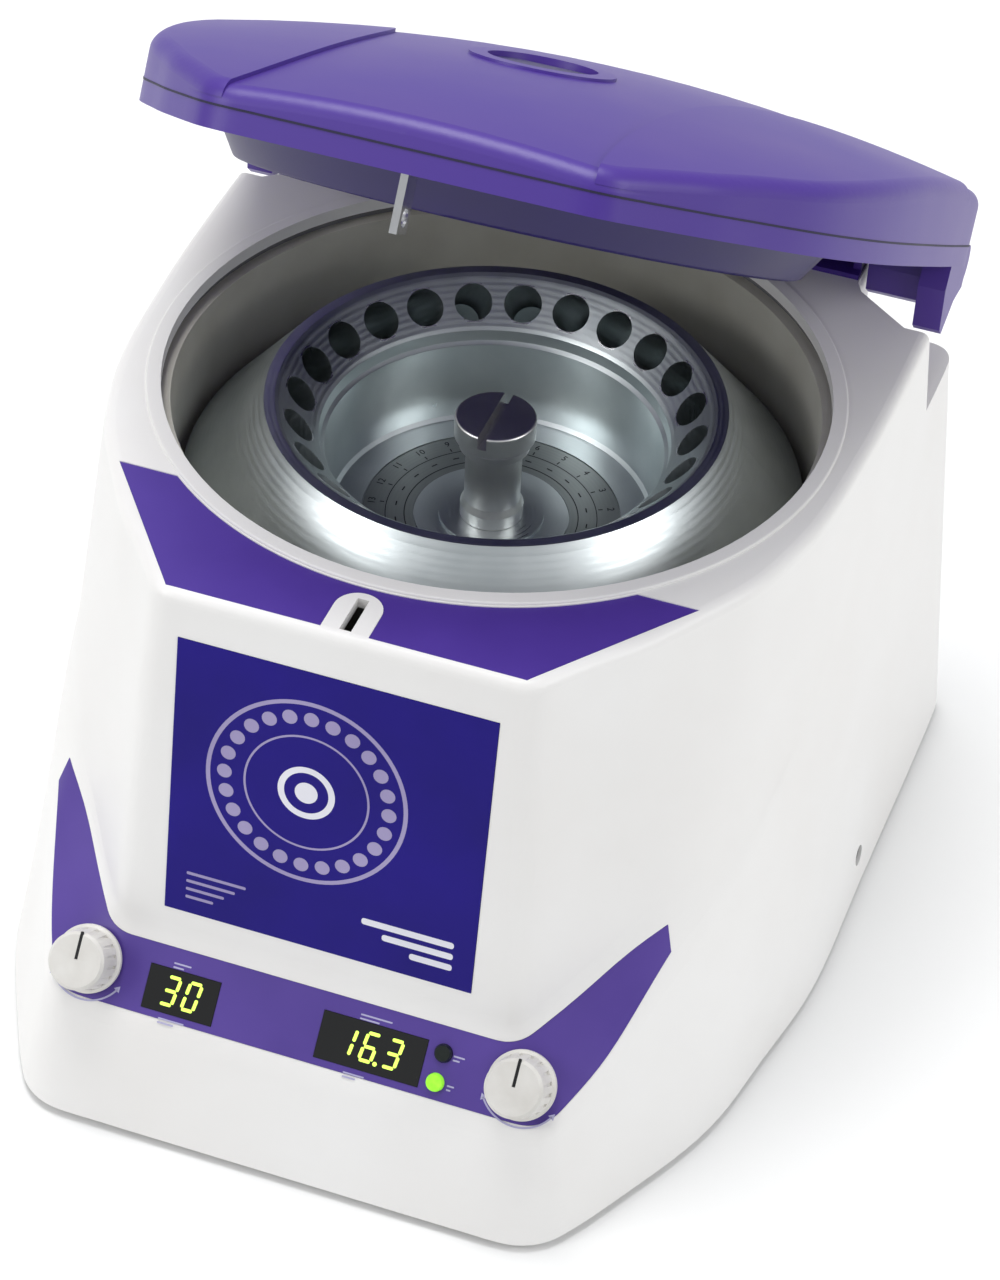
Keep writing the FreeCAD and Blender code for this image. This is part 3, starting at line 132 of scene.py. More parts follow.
def paint(material, *names):
    # gives a CAD node or a new piece its material, in every slot
    for name in names:
        data = (nodes[name] if name in nodes else bpy.data.objects[name]).data
        if not data.materials:
            data.materials.append(material)
        for i in range(len(data.materials)):
            data.materials[i] = material


# finishes
def mouldedPlastic(name, look):
    # injection moulded plastic: an even skin with fine spark grain, cloudy in gloss where it is handled
    sockets = {"IOR": 1.53, "Roughness": look["roughness"], "Base Color": toLinear(look["colour"])}
    sockets["Coat Weight"] = look.get("coat", 0.0)
    material, tree, shader, place = startMaterial(name, sockets)
    cloud = noiseAt(tree, place, look.get("cloudMm", 45))
    varyColour(tree, shader, cloud, look["shade"], look["colour"])
    varyRoughness(tree, shader, cloud, look["roughness"] - 0.05, look["roughness"] + 0.08)
    # real grain is 0.1 mm; drawn coarser so that it shows
    raiseBump(tree, shader, noiseAt(tree, place, look["grainMm"], 2.0), look["grainDepthMm"], 0.35)
    return material


def turnedMetal(name, look, axis):
    # metal turned on a lathe: fine rings round its axis; a lacquer over it, as in the bowl, dulls the shine
    sockets = {"Metallic": look.get("metallic", 1.0), "Roughness": look["roughness"],
               "Base Color": toLinear(look["colour"]), "Anisotropic": look.get("anisotropic", 0.0)}
    material, tree, shader, place = startMaterial(name, sockets)
    centred = addNode(tree, "ShaderNodeMapping", {"Location": (-axis.x, -axis.y, 0)}, {"Vector": place})
    rings = addNode(tree, "ShaderNodeTexWave",
                    {"wave_type": "RINGS", "rings_direction": "Z", "Scale": 0.314 / (look["pitchMm"] * mm),
                     "Distortion": 1.2, "Detail": 2.0, "Detail Scale": 0.4},
                    {"Vector": centred.outputs["Vector"]}).outputs["Fac"]
    stain = noiseAt(tree, place, 18)
    varyColour(tree, shader, stain, look["shade"], look["colour"])
    mixed = addNode(tree, "ShaderNodeMath", {"operation": "MULTIPLY_ADD", 1: 0.6}, {0: rings, 2: stain})
    varyRoughness(tree, shader, mixed.outputs[0], look["roughness"] - 0.05, look["roughness"] + 0.12)
    raiseBump(tree, shader, rings, look["depthMm"], 0.3)
    return material


def platedSteel(name, look):
    # plated or brushed sheet and bar: grain drawn out one way, with small scuffs
    sockets = {"Metallic": 1.0, "Roughness": look["roughness"], "Base Color": toLinear(look["colour"])}
    material, tree, shader, place = startMaterial(name, sockets)
    drawn = addNode(tree, "ShaderNodeMapping", {"Scale": look.get("drawn", (1, 1, 0.05))}, {"Vector": place})
    streaks = noiseAt(tree, drawn.outputs["Vector"], look["grainMm"], 4.0)
    varyColour(tree, shader, noiseAt(tree, place, 12), look["shade"], look["colour"])
    varyRoughness(tree, shader, streaks, look["roughness"] - 0.06, look["roughness"] + 0.14)
    raiseBump(tree, shader, streaks, 0.02, 0.25)
    return material


def softRubber(name, look):
    # moulded rubber: matt, a little dusty, with a faint pebbled skin
    sockets = {"IOR": 1.52, "Roughness": look["roughness"], "Base Color": toLinear(look["colour"])}
    material, tree, shader, place = startMaterial(name, sockets)
    dust = noiseAt(tree, place, 9)
    varyColour(tree, shader, dust, look["shade"], look["colour"])
    varyRoughness(tree, shader, dust, look["roughness"] - 0.08, look["roughness"] + 0.08)
    raiseBump(tree, shader, noiseAt(tree, place, 0.7, 2.0), 0.05, 0.4)
    return material


def printedFilm(name, look):
    # screen printed polycarbonate film: flat colour with the stipple of its matt coat
    sockets = {"IOR": 1.45, "Roughness": look["roughness"], "Base Color": toLinear(look["colour"]),
               "Specular IOR Level": look.get("sheen", 0.5)}
    material, tree, shader, place = startMaterial(name, sockets)
    varyColour(tree, shader, noiseAt(tree, place, look.get("cloudMm", 30)), look["shade"], look["colour"])
    stipple = noiseAt(tree, place, 0.5, 2.0)
    varyRoughness(tree, shader, stipple, look["roughness"] - 0.05, look["roughness"] + 0.07)
    raiseBump(tree, shader, stipple, 0.015, 0.3)
    return material


def litLens(name, look):
    # cast epoxy lens or lit segment: glows evenly, a touch hotter in the middle of its noise
    sockets = {"IOR": 1.5, "Roughness": 0.15, "Base Color": toLinear(look["colour"]),
               "Emission Color": toLinear(look["glow"]), "Emission Strength": look["power"]}
    material, tree, shader, place = startMaterial(name, sockets)
    varyColour(tree, shader, noiseAt(tree, place, 1.2), look["shade"], look["colour"])
    return material


def solderMask(name, look):
    # glass fibre board under solder mask: weave of the cloth just shows
    sockets = {"IOR": 1.5, "Roughness": 0.35, "Base Color": toLinear(look["colour"])}
    material, tree, shader, place = startMaterial(name, sockets)
    weave = addNode(tree, "ShaderNodeTexVoronoi", {"Scale": 1 / (0.8 * mm)}, {"Vector": place})
    varyColour(tree, shader, weave.outputs["Distance"], look["shade"], look["colour"])
    raiseBump(tree, shader, weave.outputs["Distance"], 0.03, 0.2)
    return material


rotorAxis = Vector(joints["rotor_spin"]["pos_m"])
plastics = {
    "whiteAbs": {"colour": "#f1f0ee", "shade": "#ebe9e6", "roughness": 0.38, "grainMm": 0.8,
                 "grainDepthMm": 0.02, "cloudMm": 70},
    "purpleLidAbs": {"colour": "#43288c", "shade": "#482b8a", "roughness": 0.4, "grainMm": 0.8,
                     "grainDepthMm": 0.015, "cloudMm": 80},
    "purpleLiner": {"colour": "#21125c", "shade": "#1b0d4e", "roughness": 0.42, "grainMm": 1.0,
                    "grainDepthMm": 0.03},
    "knobNylon": {"colour": "#dddbd6", "shade": "#cfccc6", "roughness": 0.42, "grainMm": 0.5,
                  "grainDepthMm": 0.02, "cloudMm": 8},
    "blackNylon": {"colour": "#1b1b1c", "shade": "#141415", "roughness": 0.45, "grainMm": 0.7,
                   "grainDepthMm": 0.03, "cloudMm": 12},
    "darkDisplay": {"colour": "#060706", "shade": "#030403", "roughness": 0.12, "grainMm": 1.5,
                    "grainDepthMm": 0.003, "coat": 0.4},
    "capacitorSleeve": {"colour": "#20283f", "shade": "#1a2033", "roughness": 0.3, "grainMm": 1.0,
                        "grainDepthMm": 0.01},
    "coilTape": {"colour": "#c9a53f", "shade": "#b38f30", "roughness": 0.4, "grainMm": 1.2,
                 "grainDepthMm": 0.05, "cloudMm": 6},
    # painted shade: the dark colour of the band laid over the lid's parting line, standing in for the shade
    # in the gap
    "paintedSeamShade": {"colour": "#150c3a", "shade": "#100930", "roughness": 0.6, "grainMm": 0.8,
                 "grainDepthMm": 0.02},
}
films = {
    "purpleTrimFilm": {"colour": "#50379a", "shade": "#493190", "roughness": 0.4},
    "overlayFilm": {"colour": "#574198", "shade": "#4f3a8f", "roughness": 0.4},
    "badgeFilm": {"colour": "#1a0680", "shade": "#150474", "roughness": 0.42, "sheen": 0.2},
    "lilacInk": {"colour": "#a59bc4", "shade": "#988eb8", "roughness": 0.4},
    "whiteInk": {"colour": "#eeeef4", "shade": "#e0e0ea", "roughness": 0.4},
    "blackInk": {"colour": "#17171a", "shade": "#101012", "roughness": 0.5},
    "paleLine": {"colour": "#b9b6d6", "shade": "#aaa6ca", "roughness": 0.4},
}
metals = {
    "zincSteel": {"colour": "#b9bab7", "shade": "#a3a4a0", "roughness": 0.32, "grainMm": 0.5},
    "castAlloy": {"colour": "#9a9c9e", "shade": "#86888a", "roughness": 0.45, "grainMm": 1.2,
                  "drawn": (1, 1, 1)},
    "laminatedSteel": {"colour": "#5a5b60", "shade": "#47484c", "roughness": 0.4, "grainMm": 0.6,
                       "drawn": (0.02, 0.02, 1)},
    "panPowderCoat": {"colour": "#b4b4b0", "shade": "#a8a8a4", "roughness": 0.5, "grainMm": 0.9,
                      "drawn": (1, 1, 1)},
    "strikerChrome": {"colour": "#e6e7e8", "shade": "#d8d9da", "roughness": 0.14, "grainMm": 0.5},
}
turned = {
    "rotorAluminium": {"colour": "#dfe5e6", "shade": "#d0d8d9", "roughness": 0.27, "pitchMm": 1.4,
                       "depthMm": 0.002, "anisotropic": 0.3},
    "bowlSteel": {"colour": "#dad8cd", "shade": "#cfccc0", "roughness": 0.5, "pitchMm": 1.6,
                  "depthMm": 0.004, "metallic": 0.35},
    "nutChrome": {"colour": "#f4f4f2", "shade": "#eaeae7", "roughness": 0.27, "pitchMm": 0.9,
                  "depthMm": 0.004},
    "holeBevelAluminium": {"colour": "#f4f6f7", "shade": "#e9ecee", "roughness": 0.2, "pitchMm": 0.6,
                           "depthMm": 0.003},
    "labelFoil": {"colour": "#a9aead", "shade": "#9ba1a0", "roughness": 0.38, "pitchMm": 1.2,
                  "depthMm": 0.004},
}
rubbers = {
    "blackRubber": {"colour": "#1a1a1b", "shade": "#262627", "roughness": 0.7},
    "greySilicone": {"colour": "#77777a", "shade": "#6a6a6d", "roughness": 0.6},
}
lenses = {
    "digitGlow": {"colour": "#d8ff6a", "shade": "#c8f458", "glow": "#d4ff62", "power": 0.9},
    "greenLens": {"colour": "#9be83c", "shade": "#7cd42a", "glow": "#9cf03a", "power": 0.55},
    "darkLens": {"colour": "#1c2420", "shade": "#141a17", "glow": "#000000", "power": 0.0},
}
made = {}
for name, look in plastics.items():
    made[name] = mouldedPlastic(name, look)
for name, look in films.items():
    made[name] = printedFilm(name, look)
for name, look in metals.items():
    made[name] = platedSteel(name, look)
for name, look in turned.items():
    made[name] = turnedMetal(name, look, rotorAxis)
for name, look in rubbers.items():
    made[name] = softRubber(name, look)
made["boardGreen"] = solderMask("boardGreen", {"colour": "#1f6a35", "shade": "#174f28"})
for name, look in lenses.items():
    made[name] = litLens(name, look)

wear = {
    "whiteAbs": ["housing_shell"],
    "purpleTrimFilm": ["deck_inlay"],
    "overlayFilm": ["control_overlay"],
    "badgeFilm": ["badge_panel"],
    "bowlSteel": ["chamber_bowl"],
    "rotorAluminium": ["rotor_body"],
    "labelFoil": ["rotor_label_ring"],
    "nutChrome": ["rotor_nut"],
    "purpleLidAbs": ["lid_shell", "lid_frame", "hinge_bracket_left", "hinge_bracket_right"],
    "purpleLiner": ["lid_liner", "liner_window", "lid_port"],
    "knobNylon": ["time_knob", "speed_knob"],
    "darkDisplay": ["time_display", "speed_display", "display_windows"],
    "greenLens": ["run_led"],
    "darkLens": ["standby_led"],
    "strikerChrome": ["latch_striker", "motor_bearings"],
    "zincSteel": ["case_screws", "lid_screws", "hinge_pins", "motor_plate", "drive_spindle", "latch_frame",
                  "latch_hook", "latch_plunger", "time_shaft", "speed_shaft"],
    "castAlloy": ["end_bell_upper", "end_bell_lower"],
    "laminatedSteel": ["motor_stator", "motor_rotor", "transformer"],
    "panPowderCoat": ["base_pan"],
    "blackRubber": ["feet", "shaft_boot", "motor_isolators", "motor_cable"],
    "greySilicone": ["bowl_gasket", "lid_seal"],
    "boardGreen": ["main_board", "control_board"],
    "capacitorSleeve": ["capacitors"],
    "coilTape": ["latch_solenoid"],
    "blackNylon": ["board_standoffs", "time_encoder", "speed_encoder", "lid_switch", "power_inlet",
                   "release_button", "fuse_drawer", "power_switch", "time_push_carrier",
                   "speed_push_carrier"],
}
for name, worn in wear.items():
    paint(made[name], *worn)
unpainted = sorted(set(nodes) - {name for worn in wear.values() for name in worn})
print("finishes on CAD nodes, left over:", unpainted)


# shapes shared by the printed and fitted details
def thicken(obj, thickness):
    # an even sheet, half of it each side of the drawn face
    pick(obj)
    solid = obj.modifiers.new("sheet", "SOLIDIFY")
    solid.thickness = thickness
    solid.offset = 0
    bpy.ops.object.modifier_apply(modifier="sheet")
    return obj


def flatBar(width, height, corner, thickness):
    deselectAll()
    bpy.ops.mesh.primitive_plane_add(size=1)
    obj = bpy.context.object
    obj.scale = (width, height, 1)
    bpy.ops.object.transform_apply(location=False, rotation=False, scale=True)
    bpy.ops.object.mode_set(mode="EDIT")
    bpy.ops.mesh.select_all(action="SELECT")
    bpy.ops.mesh.bevel(offset=corner, segments=2, affect="VERTICES")
    bpy.ops.object.mode_set(mode="OBJECT")
    return thicken(obj, thickness)


def flatDisc(radius, thickness, steps=20):
    deselectAll()
    bpy.ops.mesh.primitive_circle_add(vertices=steps, radius=radius, fill_type="NGON")
    return thicken(bpy.context.object, thickness)


def flatRing(inner, outer, thickness, steps=96, start=None, end=None):
    # a washer, or the part of one between two angles in degrees
    deselectAll()
    bpy.ops.mesh.primitive_circle_add(vertices=steps, radius=outer)
    obj = bpy.context.object
    bpy.ops.object.mode_set(mode="EDIT")
    bpy.ops.mesh.select_all(action="SELECT")
    bpy.ops.mesh.extrude_edges_move()
    ratio = inner / outer
    bpy.ops.transform.resize(value=(ratio, ratio, 1), center_override=(0, 0, 0))
    bpy.ops.mesh.select_all(action="DESELECT")
    bpy.ops.object.mode_set(mode="OBJECT")
    if start is not None:
        for face in obj.data.polygons:
            angle = math.degrees(math.atan2(face.center.y, face.center.x)) % 360
            face.select = not start % 360 <= angle <= end % 360
        bpy.ops.object.mode_set(mode="EDIT")
        bpy.ops.mesh.select_mode(type="FACE")
        bpy.ops.mesh.delete(type="FACE")
        bpy.ops.mesh.select_mode(type="VERT")
        bpy.ops.object.mode_set(mode="OBJECT")
    return thicken(obj, thickness)


def arrowHead(size, thickness):
    deselectAll()
    bpy.ops.mesh.primitive_circle_add(vertices=3, radius=size, fill_type="NGON")
    return thicken(bpy.context.object, thickness)


def lay(obj, frameAt, x=0.0, y=0.0, out=0.0, turn=0.0):
    # puts a flat shape into a surface's own frame, in mm and degrees, and applies its place
    spot = Matrix.Translation((x * mm, y * mm, out * mm)) @ Matrix.Rotation(math.radians(turn), 4, "Z")
    obj.matrix_world = frameAt @ spot
    pick(obj)
    bpy.ops.object.transform_apply(location=True, rotation=True, scale=True)
    return obj


def assemble(name, parts, material, body):
    # joins finished shapes into one piece that rides on a body
    pick(*parts)
    if len(parts) > 1:
        bpy.ops.object.join()
    obj = bpy.context.view_layer.objects.active
    obj.name = name
    obj.data.name = name
    bpy.ops.object.mode_set(mode="EDIT")
    bpy.ops.mesh.select_all(action="SELECT")
    bpy.ops.mesh.normals_make_consistent(inside=False)
    bpy.ops.object.mode_set(mode="OBJECT")
    obj.data.materials.clear()
    obj.data.materials.append(made[material])
    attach(obj, body)
    return obj


def frameOf(origin, across, out):
    # x across, y up the surface, z out of it
    up = out.cross(across)
    matrix = Matrix((across, up, out)).transposed().to_4x4()
    matrix.translation = origin
    return matrix


def copyOf(obj):
    twin = obj.copy()
    twin.data = obj.data.copy()
    bpy.context.scene.collection.objects.link(twin)
    return twin


# control ledge: displays, printed lines and knob marks
ledge = {"knobUp": 1.0, "knobOut": 62.5, "printOut": 0.15, "windowOut": 0.3, "ink": 0.12}
dial = joints["time_turn"]
ledgeOut = Vector(dial["axis"]).normalized()
ledgeUp = ledgeOut.cross(xAxis)
ledgeMiddle = Vector((0, dial["pos_m"][1], dial["pos_m"][2])) - ledgeUp * ledge["knobUp"] * mm
ledgeFrame = frameOf(ledgeMiddle, xAxis, ledgeOut)

digits = {"height": 7.6, "width": 4.3, "stroke": 0.95, "slant": 8.0, "gap": 0.22, "dot": 0.62,
          "segments": {"0": "abcdef", "1": "bc", "3": "abcdg", "6": "acdefg"}}


def segmentBars(sign, left, base):
    # the lit bars of one digit, leaning like the real display's
    half, width, stroke = digits["height"] / 2, digits["width"], digits["stroke"]
    long, tall = width - stroke - digits["gap"], half - stroke / 2 - digits["gap"]
    side = width / 2 - stroke / 2
    places = {
        "a": (0, half * 2, long, 0), "g": (0, half, long, 0), "d": (0, 0, long, 0),
        "b": (side, half * 1.5, tall, 1), "c": (side, half * 0.5, tall, 1),
        "f": (-side, half * 1.5, tall, 1), "e": (-side, half * 0.5, tall, 1),
    }
    bars = []
    lean = math.tan(math.radians(digits["slant"]))
    for letter in digits["segments"][sign]:
        x, y, length, upright = places[letter]
        bar = flatBar(length * mm, stroke * mm, stroke * 0.4 * mm, ledge["ink"] * mm)
        turn = 90 - digits["slant"] if upright else 0
        bars.append(lay(bar, ledgeFrame, left + x + y * lean, base + y, ledge["windowOut"], turn))
    return bars


displays = {
    "timeDigits": {"signs": [("3", -38.6), ("0", -32.4)], "base": -5.3, "dots": []},
    "speedDigits": {"signs": [("1", 12.6), ("6", 19.0), ("3", 25.7)], "base": -4.8, "dots": [(22.0, -4.9)]},
}
for name, look in displays.items():
    lit = []
    for sign, left in look["signs"]:
        lit += segmentBars(sign, left, look["base"])
    for x, up in look["dots"]:
        dot = flatDisc(digits["dot"] * mm, ledge["ink"] * mm)
        lit.append(lay(dot, ledgeFrame, x, up, ledge["windowOut"]))
    assemble(name, lit, "digitGlow", "housing")
print("display digits made")

knobPrint = {"inner": 11.2, "outer": 11.7, "from": 212, "to": 328, "arrow": 1.1}
printBar = {"height": 0.45, "corner": 0.15, "step": 1.1, "shares": (1.0, 0.62)}
bars = {"overTime": (-36.5, 6.2, 5.0), "underTime": (-36.0, -9.4, 7.5), "overSpeed": (19.5, 7.0, 9.0),
        "underSpeed": (17.0, -9.3, 6.0), "upperLamp": (44.0, 3.1, 3.2), "lowerLamp": (43.6, -5.0, 2.0)}
printed = []
for x in (-ledge["knobOut"], ledge["knobOut"]):
    ring = flatRing(knobPrint["inner"] * mm, knobPrint["outer"] * mm, ledge["ink"] * mm, 144,
                    knobPrint["from"], knobPrint["to"])
    printed.append(lay(ring, ledgeFrame, x, ledge["knobUp"], ledge["printOut"]))
    middle = (knobPrint["inner"] + knobPrint["outer"]) / 2
    for angle, turn in ((knobPrint["from"], -90), (knobPrint["to"], 90)):
        reach = math.radians(angle)
        head = arrowHead(knobPrint["arrow"] * mm, ledge["ink"] * mm)
        printed.append(lay(head, ledgeFrame, x + middle * math.cos(reach),
                           ledge["knobUp"] + middle * math.sin(reach), ledge["printOut"], angle + turn - 90))
for x, up, width in bars.values():
    for i, share in enumerate(printBar["shares"]):
        strip = flatBar(width * share * mm, printBar["height"] * mm, printBar["corner"] * mm,
                        ledge["ink"] * mm)
        printed.append(lay(strip, ledgeFrame, x - width * (1 - share) / 2, up - printBar["step"] * i,
                           ledge["printOut"]))
assemble("ledgePrint", printed, "paleLine", "housing")

pointer = {"width": 0.8, "length": 7.6, "from": 0.6, "out": 11.85, "ink": 0.5}
for side, x in (("time", -ledge["knobOut"]), ("speed", ledge["knobOut"])):
    line = flatBar(pointer["width"] * mm, pointer["length"] * mm, 0.2 * mm, pointer["ink"] * mm)
    lay(line, ledgeFrame, x, ledge["knobUp"] + pointer["from"] + pointer["length"] / 2, pointer["out"])
    assemble(side + "Pointer", [line], "blackInk", side + "_dial")
print("ledge print and pointers made")

# badge: a plain picture of a 24 place rotor, with bars where words would be
badge = {"ink": 0.1, "ring": 23.0, "dot": 2.1, "count": 24, "hub": (6.2, 8.0), "hubDot": 3.2,
         "rim": (27.0, 28.2), "well": (17.0, 17.6), "middle": (-6.0, 6.0), "skin": 0.9,
         "faceBack": 16.0, "faceHeight": 108.5}
badgeText = {"whiteEnd": 38, "whiteTop": -29.5, "whiteStep": 3.6, "whiteWidths": (26, 20, 12),
             "lilacStart": -38, "lilacTop": -30, "lilacStep": 2.6, "lilacWidths": (17, 14, 11, 8)}
low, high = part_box("badge_panel")
leanAngle = math.atan2(badge["faceBack"], badge["faceHeight"])  # the front face leans back
faceOut = Vector((0, -math.cos(leanAngle), math.sin(leanAngle)))
faceUp = faceOut.cross(xAxis)
bottomEdge = Vector((0, low.y, low.z + badge["skin"] * mm * math.sin(leanAngle)))
badgeHeight = (high.z - bottomEdge.z) / faceUp.z
badgeFrame = frameOf(bottomEdge + faceUp * badgeHeight / 2, xAxis, faceOut)
lilac, white = [], []
centreX, centreY = badge["middle"]
for i in range(badge["count"]):
    turn = 2 * math.pi * i / badge["count"]
    dot = flatDisc(badge["dot"] * mm, badge["ink"] * mm)
    lilac.append(lay(dot, badgeFrame, centreX + badge["ring"] * math.cos(turn),
                     centreY + badge["ring"] * math.sin(turn)))
for inner, outer in (badge["rim"], badge["well"]):
    lilac.append(lay(flatRing(inner * mm, outer * mm, badge["ink"] * mm), badgeFrame, centreX, centreY))
white.append(lay(flatRing(badge["hub"][0] * mm, badge["hub"][1] * mm, badge["ink"] * mm), badgeFrame,
                 centreX, centreY))
white.append(lay(flatDisc(badge["hubDot"] * mm, badge["ink"] * mm, 32), badgeFrame, centreX, centreY))
for i, width in enumerate(badgeText["whiteWidths"]):
    strip = flatBar(width * mm, 2.0 * mm, 0.7 * mm, badge["ink"] * mm)
    white.append(lay(strip, badgeFrame, badgeText["whiteEnd"] - width / 2,
                     badgeText["whiteTop"] - badgeText["whiteStep"] * i))
for i, width in enumerate(badgeText["lilacWidths"]):
    strip = flatBar(width * mm, 0.9 * mm, 0.3 * mm, badge["ink"] * mm)
    lilac.append(lay(strip, badgeFrame, badgeText["lilacStart"] + width / 2,
                     badgeText["lilacTop"] - badgeText["lilacStep"] * i))
assemble("badgeRotorPicture", lilac, "lilacInk", "housing")
assemble("badgeBars", white, "whiteInk", "housing")
print("badge picture made")

# rotor: numbers round the well and a bright bevel at each tube hole
well = {"numbers": 34.3, "size": 3.0, "ticks": 31.4, "dashes": 27.3, "inner": (24.6, 24.9),
        "outer": (30.0, 30.25), "ink": 0.08}
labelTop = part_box("rotor_label_ring")[1].z
wellFrame = Matrix.Translation((rotorAxis.x, rotorAxis.y, labelTop))
tube = {"count": 24, "first": 11.45, "circle": 55.0, "level": 148.0, "radius": 5.5, "bevel": 0.55}
tubeStep = 360 / tube["count"]
marks = []
for i in range(tube["count"]):
    angle = tube["first"] + tubeStep * i
    turn = math.radians(angle)
    deselectAll()
    bpy.ops.object.text_add()
    number = bpy.context.object
    number.data.body = str(i + 1)
    number.data.size = well["size"] * mm
    number.data.extrude = well["ink"] / 2 * mm
    number.data.resolution_u = 3
    number.data.align_x, number.data.align_y = "CENTER", "CENTER"
    bpy.ops.object.convert(target="MESH")
    number = bpy.context.object
    marks.append(lay(number, wellFrame, well["numbers"] * math.cos(turn), well["numbers"] * math.sin(turn),
                     turn=angle - 90))
    tick = flatBar(0.35 * mm, 1.3 * mm, 0.1 * mm, well["ink"] * mm)
    marks.append(lay(tick, wellFrame, well["ticks"] * math.cos(turn), well["ticks"] * math.sin(turn),
                     turn=angle - 90))
    dash = flatBar(1.9 * mm, 0.4 * mm, 0.1 * mm, well["ink"] * mm)
    marks.append(lay(dash, wellFrame, well["dashes"] * math.cos(turn), well["dashes"] * math.sin(turn),
                     turn=angle - 90))
for inner, outer in (well["inner"], well["outer"]):
    marks.append(lay(flatRing(inner * mm, outer * mm, well["ink"] * mm), wellFrame))
assemble("wellNumbers", marks, "blackInk", "rotor")

bevels = []
for i in range(tube["count"]):
    turn = math.radians(tube["first"] + tubeStep * i)
    outward = Vector((math.cos(turn), math.sin(turn), 0))
    lean = (zAxis - outward).normalized()
    mouth = Vector((rotorAxis.x, rotorAxis.y, tube["level"] * mm)) + outward * tube["circle"] * mm
    bevels.append(flatRing(tube["radius"] * mm, (tube["radius"] + tube["bevel"]) * mm, 0.12 * mm, 32))
    lay(bevels[-1], frameOf(mouth, Vector((-outward.y, outward.x, 0)), lean))
assemble("tubeHoleBevels", bevels, "holeBevelAluminium", "rotor")
print("rotor numbers and bevels made")

# lid: a dark band along the parting line between its shell and its frame, painted shade of the gap between
# the two parts
lidHinge = joints["lid_hinge"]
openAngle = -math.radians(lidHinge["range_deg"][0])
seam = {"above": 5.0, "cut": 0.3, "width": 0.55, "proud": 1.0009}
lidUp = Vector((0, math.sin(openAngle), math.cos(openAngle)))
hingeSpot = Vector(lidHinge["pos_m"])
line = copyOf(nodes["lid_shell"])
for key in list(line.keys()):
    del line[key]
line.parent = None
pick(line)
bpy.ops.object.mode_set(mode="EDIT")
bpy.ops.mesh.select_all(action="SELECT")
bpy.ops.mesh.remove_doubles(threshold=0.002 * mm)
bpy.ops.mesh.select_all(action="SELECT")
seamSpot = hingeSpot + lidUp * (seam["above"] + seam["cut"]) * mm
bpy.ops.mesh.bisect(plane_co=seamSpot, plane_no=lidUp, clear_inner=True, clear_outer=True)
bpy.ops.mesh.select_all(action="DESELECT")
bpy.ops.object.mode_set(mode="OBJECT")
widest = max(line.data.vertices, key=lambda vertex: vertex.co.x)
widest.select = True
bpy.ops.object.mode_set(mode="EDIT")
bpy.ops.mesh.select_linked()
bpy.ops.mesh.select_all(action="INVERT")
bpy.ops.mesh.delete(type="VERT")
bpy.ops.mesh.select_all(action="SELECT")
middle = (Vector(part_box("lid_frame")[0]) + Vector(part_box("lid_frame")[1])) / 2
bpy.ops.transform.resize(value=(seam["proud"], seam["proud"], seam["proud"]), center_override=middle)
bpy.ops.transform.translate(value=-lidUp * (seam["cut"] + seam["width"] / 2) * mm)
bpy.ops.mesh.extrude_edges_move(TRANSFORM_OT_translate={"value": lidUp * seam["width"] * mm})
bpy.ops.object.mode_set(mode="OBJECT")
thicken(line, 0.1 * mm)
# the band carries the painted shade of the seam gap
assemble("lidPartingLine", [line], "paintedSeamShade", "lid")
print("lid parting line made")

# rear: metal blades in the power inlet
inlet = {"blades": ((13, 21), (19, 25), (25, 21)), "width": 2.3, "height": 4.3, "from": 4.0, "length": 16.0}
inletLow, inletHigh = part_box("power_inlet")
blades = []
for right, up in inlet["blades"]:
    deselectAll()
    bpy.ops.mesh.primitive_cube_add(size=1)
    blade = bpy.context.object
    blade.scale = (inlet["width"] * mm, inlet["length"] * mm, inlet["height"] * mm)
    blade.location = (inletLow.x + right * mm, inletHigh.y - (inlet["from"] + inlet["length"] / 2 - 0.4) * mm,
                      inletLow.z + up * mm)
    bpy.ops.object.transform_apply(location=True, rotation=True, scale=True)
    bpy.ops.object.mode_set(mode="EDIT")
    bpy.ops.mesh.select_all(action="SELECT")
    bpy.ops.mesh.bevel(offset=0.45 * mm, segments=2, affect="EDGES")
    bpy.ops.object.mode_set(mode="OBJECT")
    blades.append(blade)
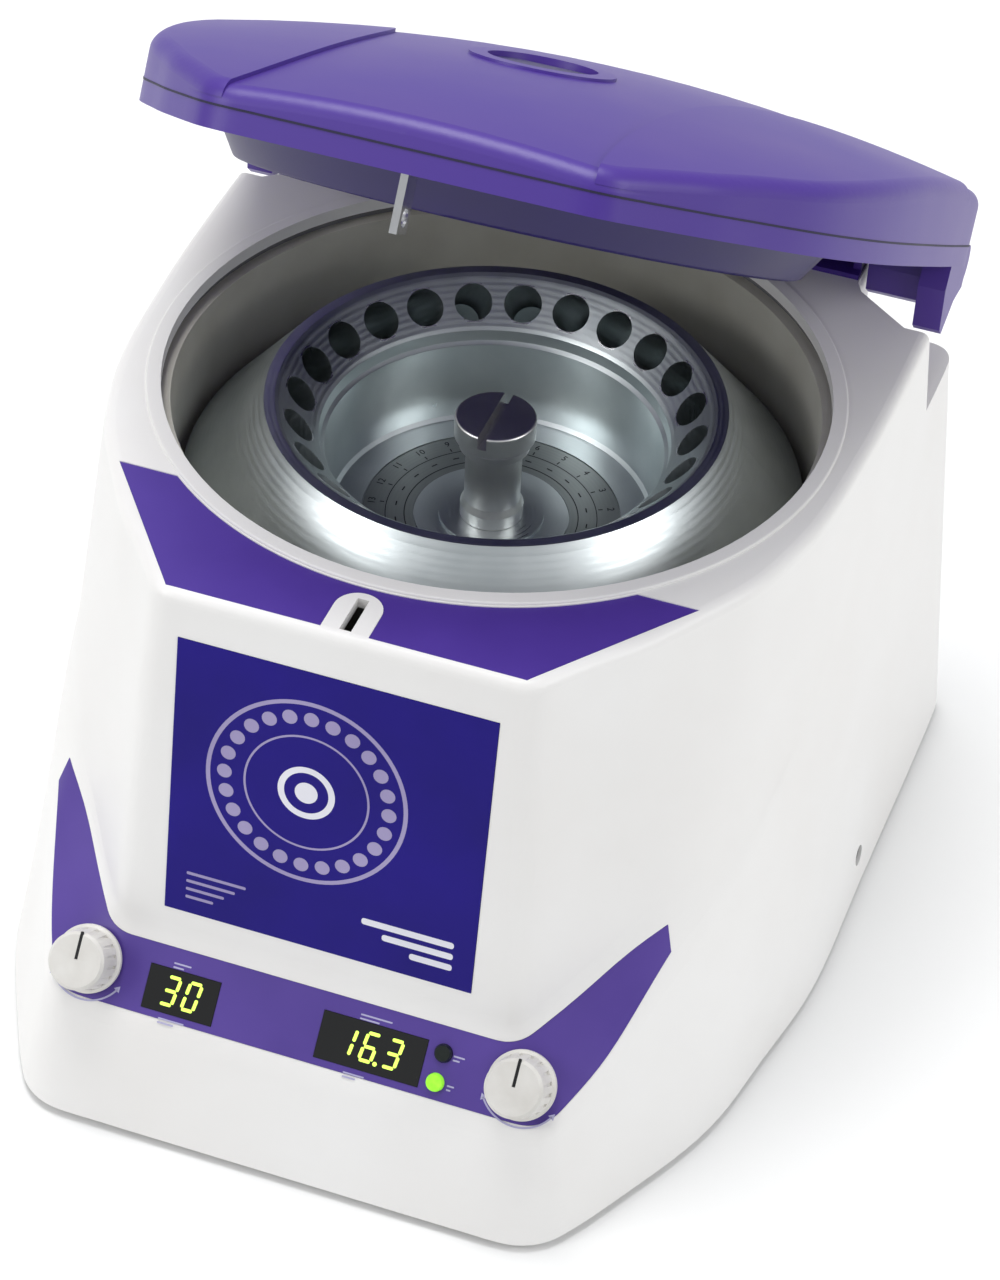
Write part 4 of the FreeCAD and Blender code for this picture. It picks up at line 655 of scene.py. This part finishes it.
assemble("inletBlades", blades, "strikerChrome", "housing")
print("inlet blades made")

# floor, light and camera
floor = {"size": 8.0, "colour": "#f7f7f6"}
deselectAll()
bpy.ops.mesh.primitive_plane_add(size=floor["size"])
ground = bpy.context.object
ground.name = "studioFloor"
paper, paperTree, paperShader, paperPlace = startMaterial(
    "studioPaper", {"Base Color": toLinear(floor["colour"]), "Roughness": 0.8})
raiseBump(paperTree, paperShader, noiseAt(paperTree, paperPlace, 1.5), 0.02, 0.1)
ground.data.materials.append(paper)

world = bpy.data.worlds.new("studioWorld")
world.use_nodes = True
world.node_tree.nodes["Background"].inputs["Color"].default_value = toLinear("#f4f6fa")
world.node_tree.nodes["Background"].inputs["Strength"].default_value = 0.5
bpy.context.scene.world = world
bpy.context.scene.view_settings.view_transform = "Standard"

lamps = {
    "topSoftbox": {"at": (-0.25, 0.25, 1.7), "size": 0.9, "power": 19.0},
    "rightSoftbox": {"at": (1.5, -0.1, 1.0), "size": 0.8, "power": 8.0},
    "leftCard": {"at": (-1.1, -1.0, 1.1), "size": 0.8, "power": 8.0},
}
target = Vector((0, 0, 0.12))
for name, look in lamps.items():
    deselectAll()
    bpy.ops.object.light_add(type="AREA", location=look["at"])
    lamp = bpy.context.object
    lamp.name = name
    lamp.data.size = look["size"]
    lamp.data.energy = look["power"]
    lamp.rotation_mode = "QUATERNION"
    lamp.rotation_quaternion = (target - lamp.location).to_track_quat("-Z", "Y")

shot = {"at": (249.2, -749.5, 759.9), "toward": (12.3, -4.3, 89.5), "rollDegrees": 3.05, "lens": 102.47}
deselectAll()
bpy.ops.object.camera_add(location=[v * mm for v in shot["at"]])
camera = bpy.context.object
camera.data.lens = shot["lens"]
camera.data.sensor_width = 36
camera.rotation_mode = "QUATERNION"
sight = (Vector(shot["toward"]) - Vector(shot["at"])).to_track_quat("-Z", "Y")
camera.rotation_quaternion = sight @ Quaternion((0, 0, 1), math.radians(shot["rollDegrees"]))
bpy.context.scene.camera = camera
print("studio made")
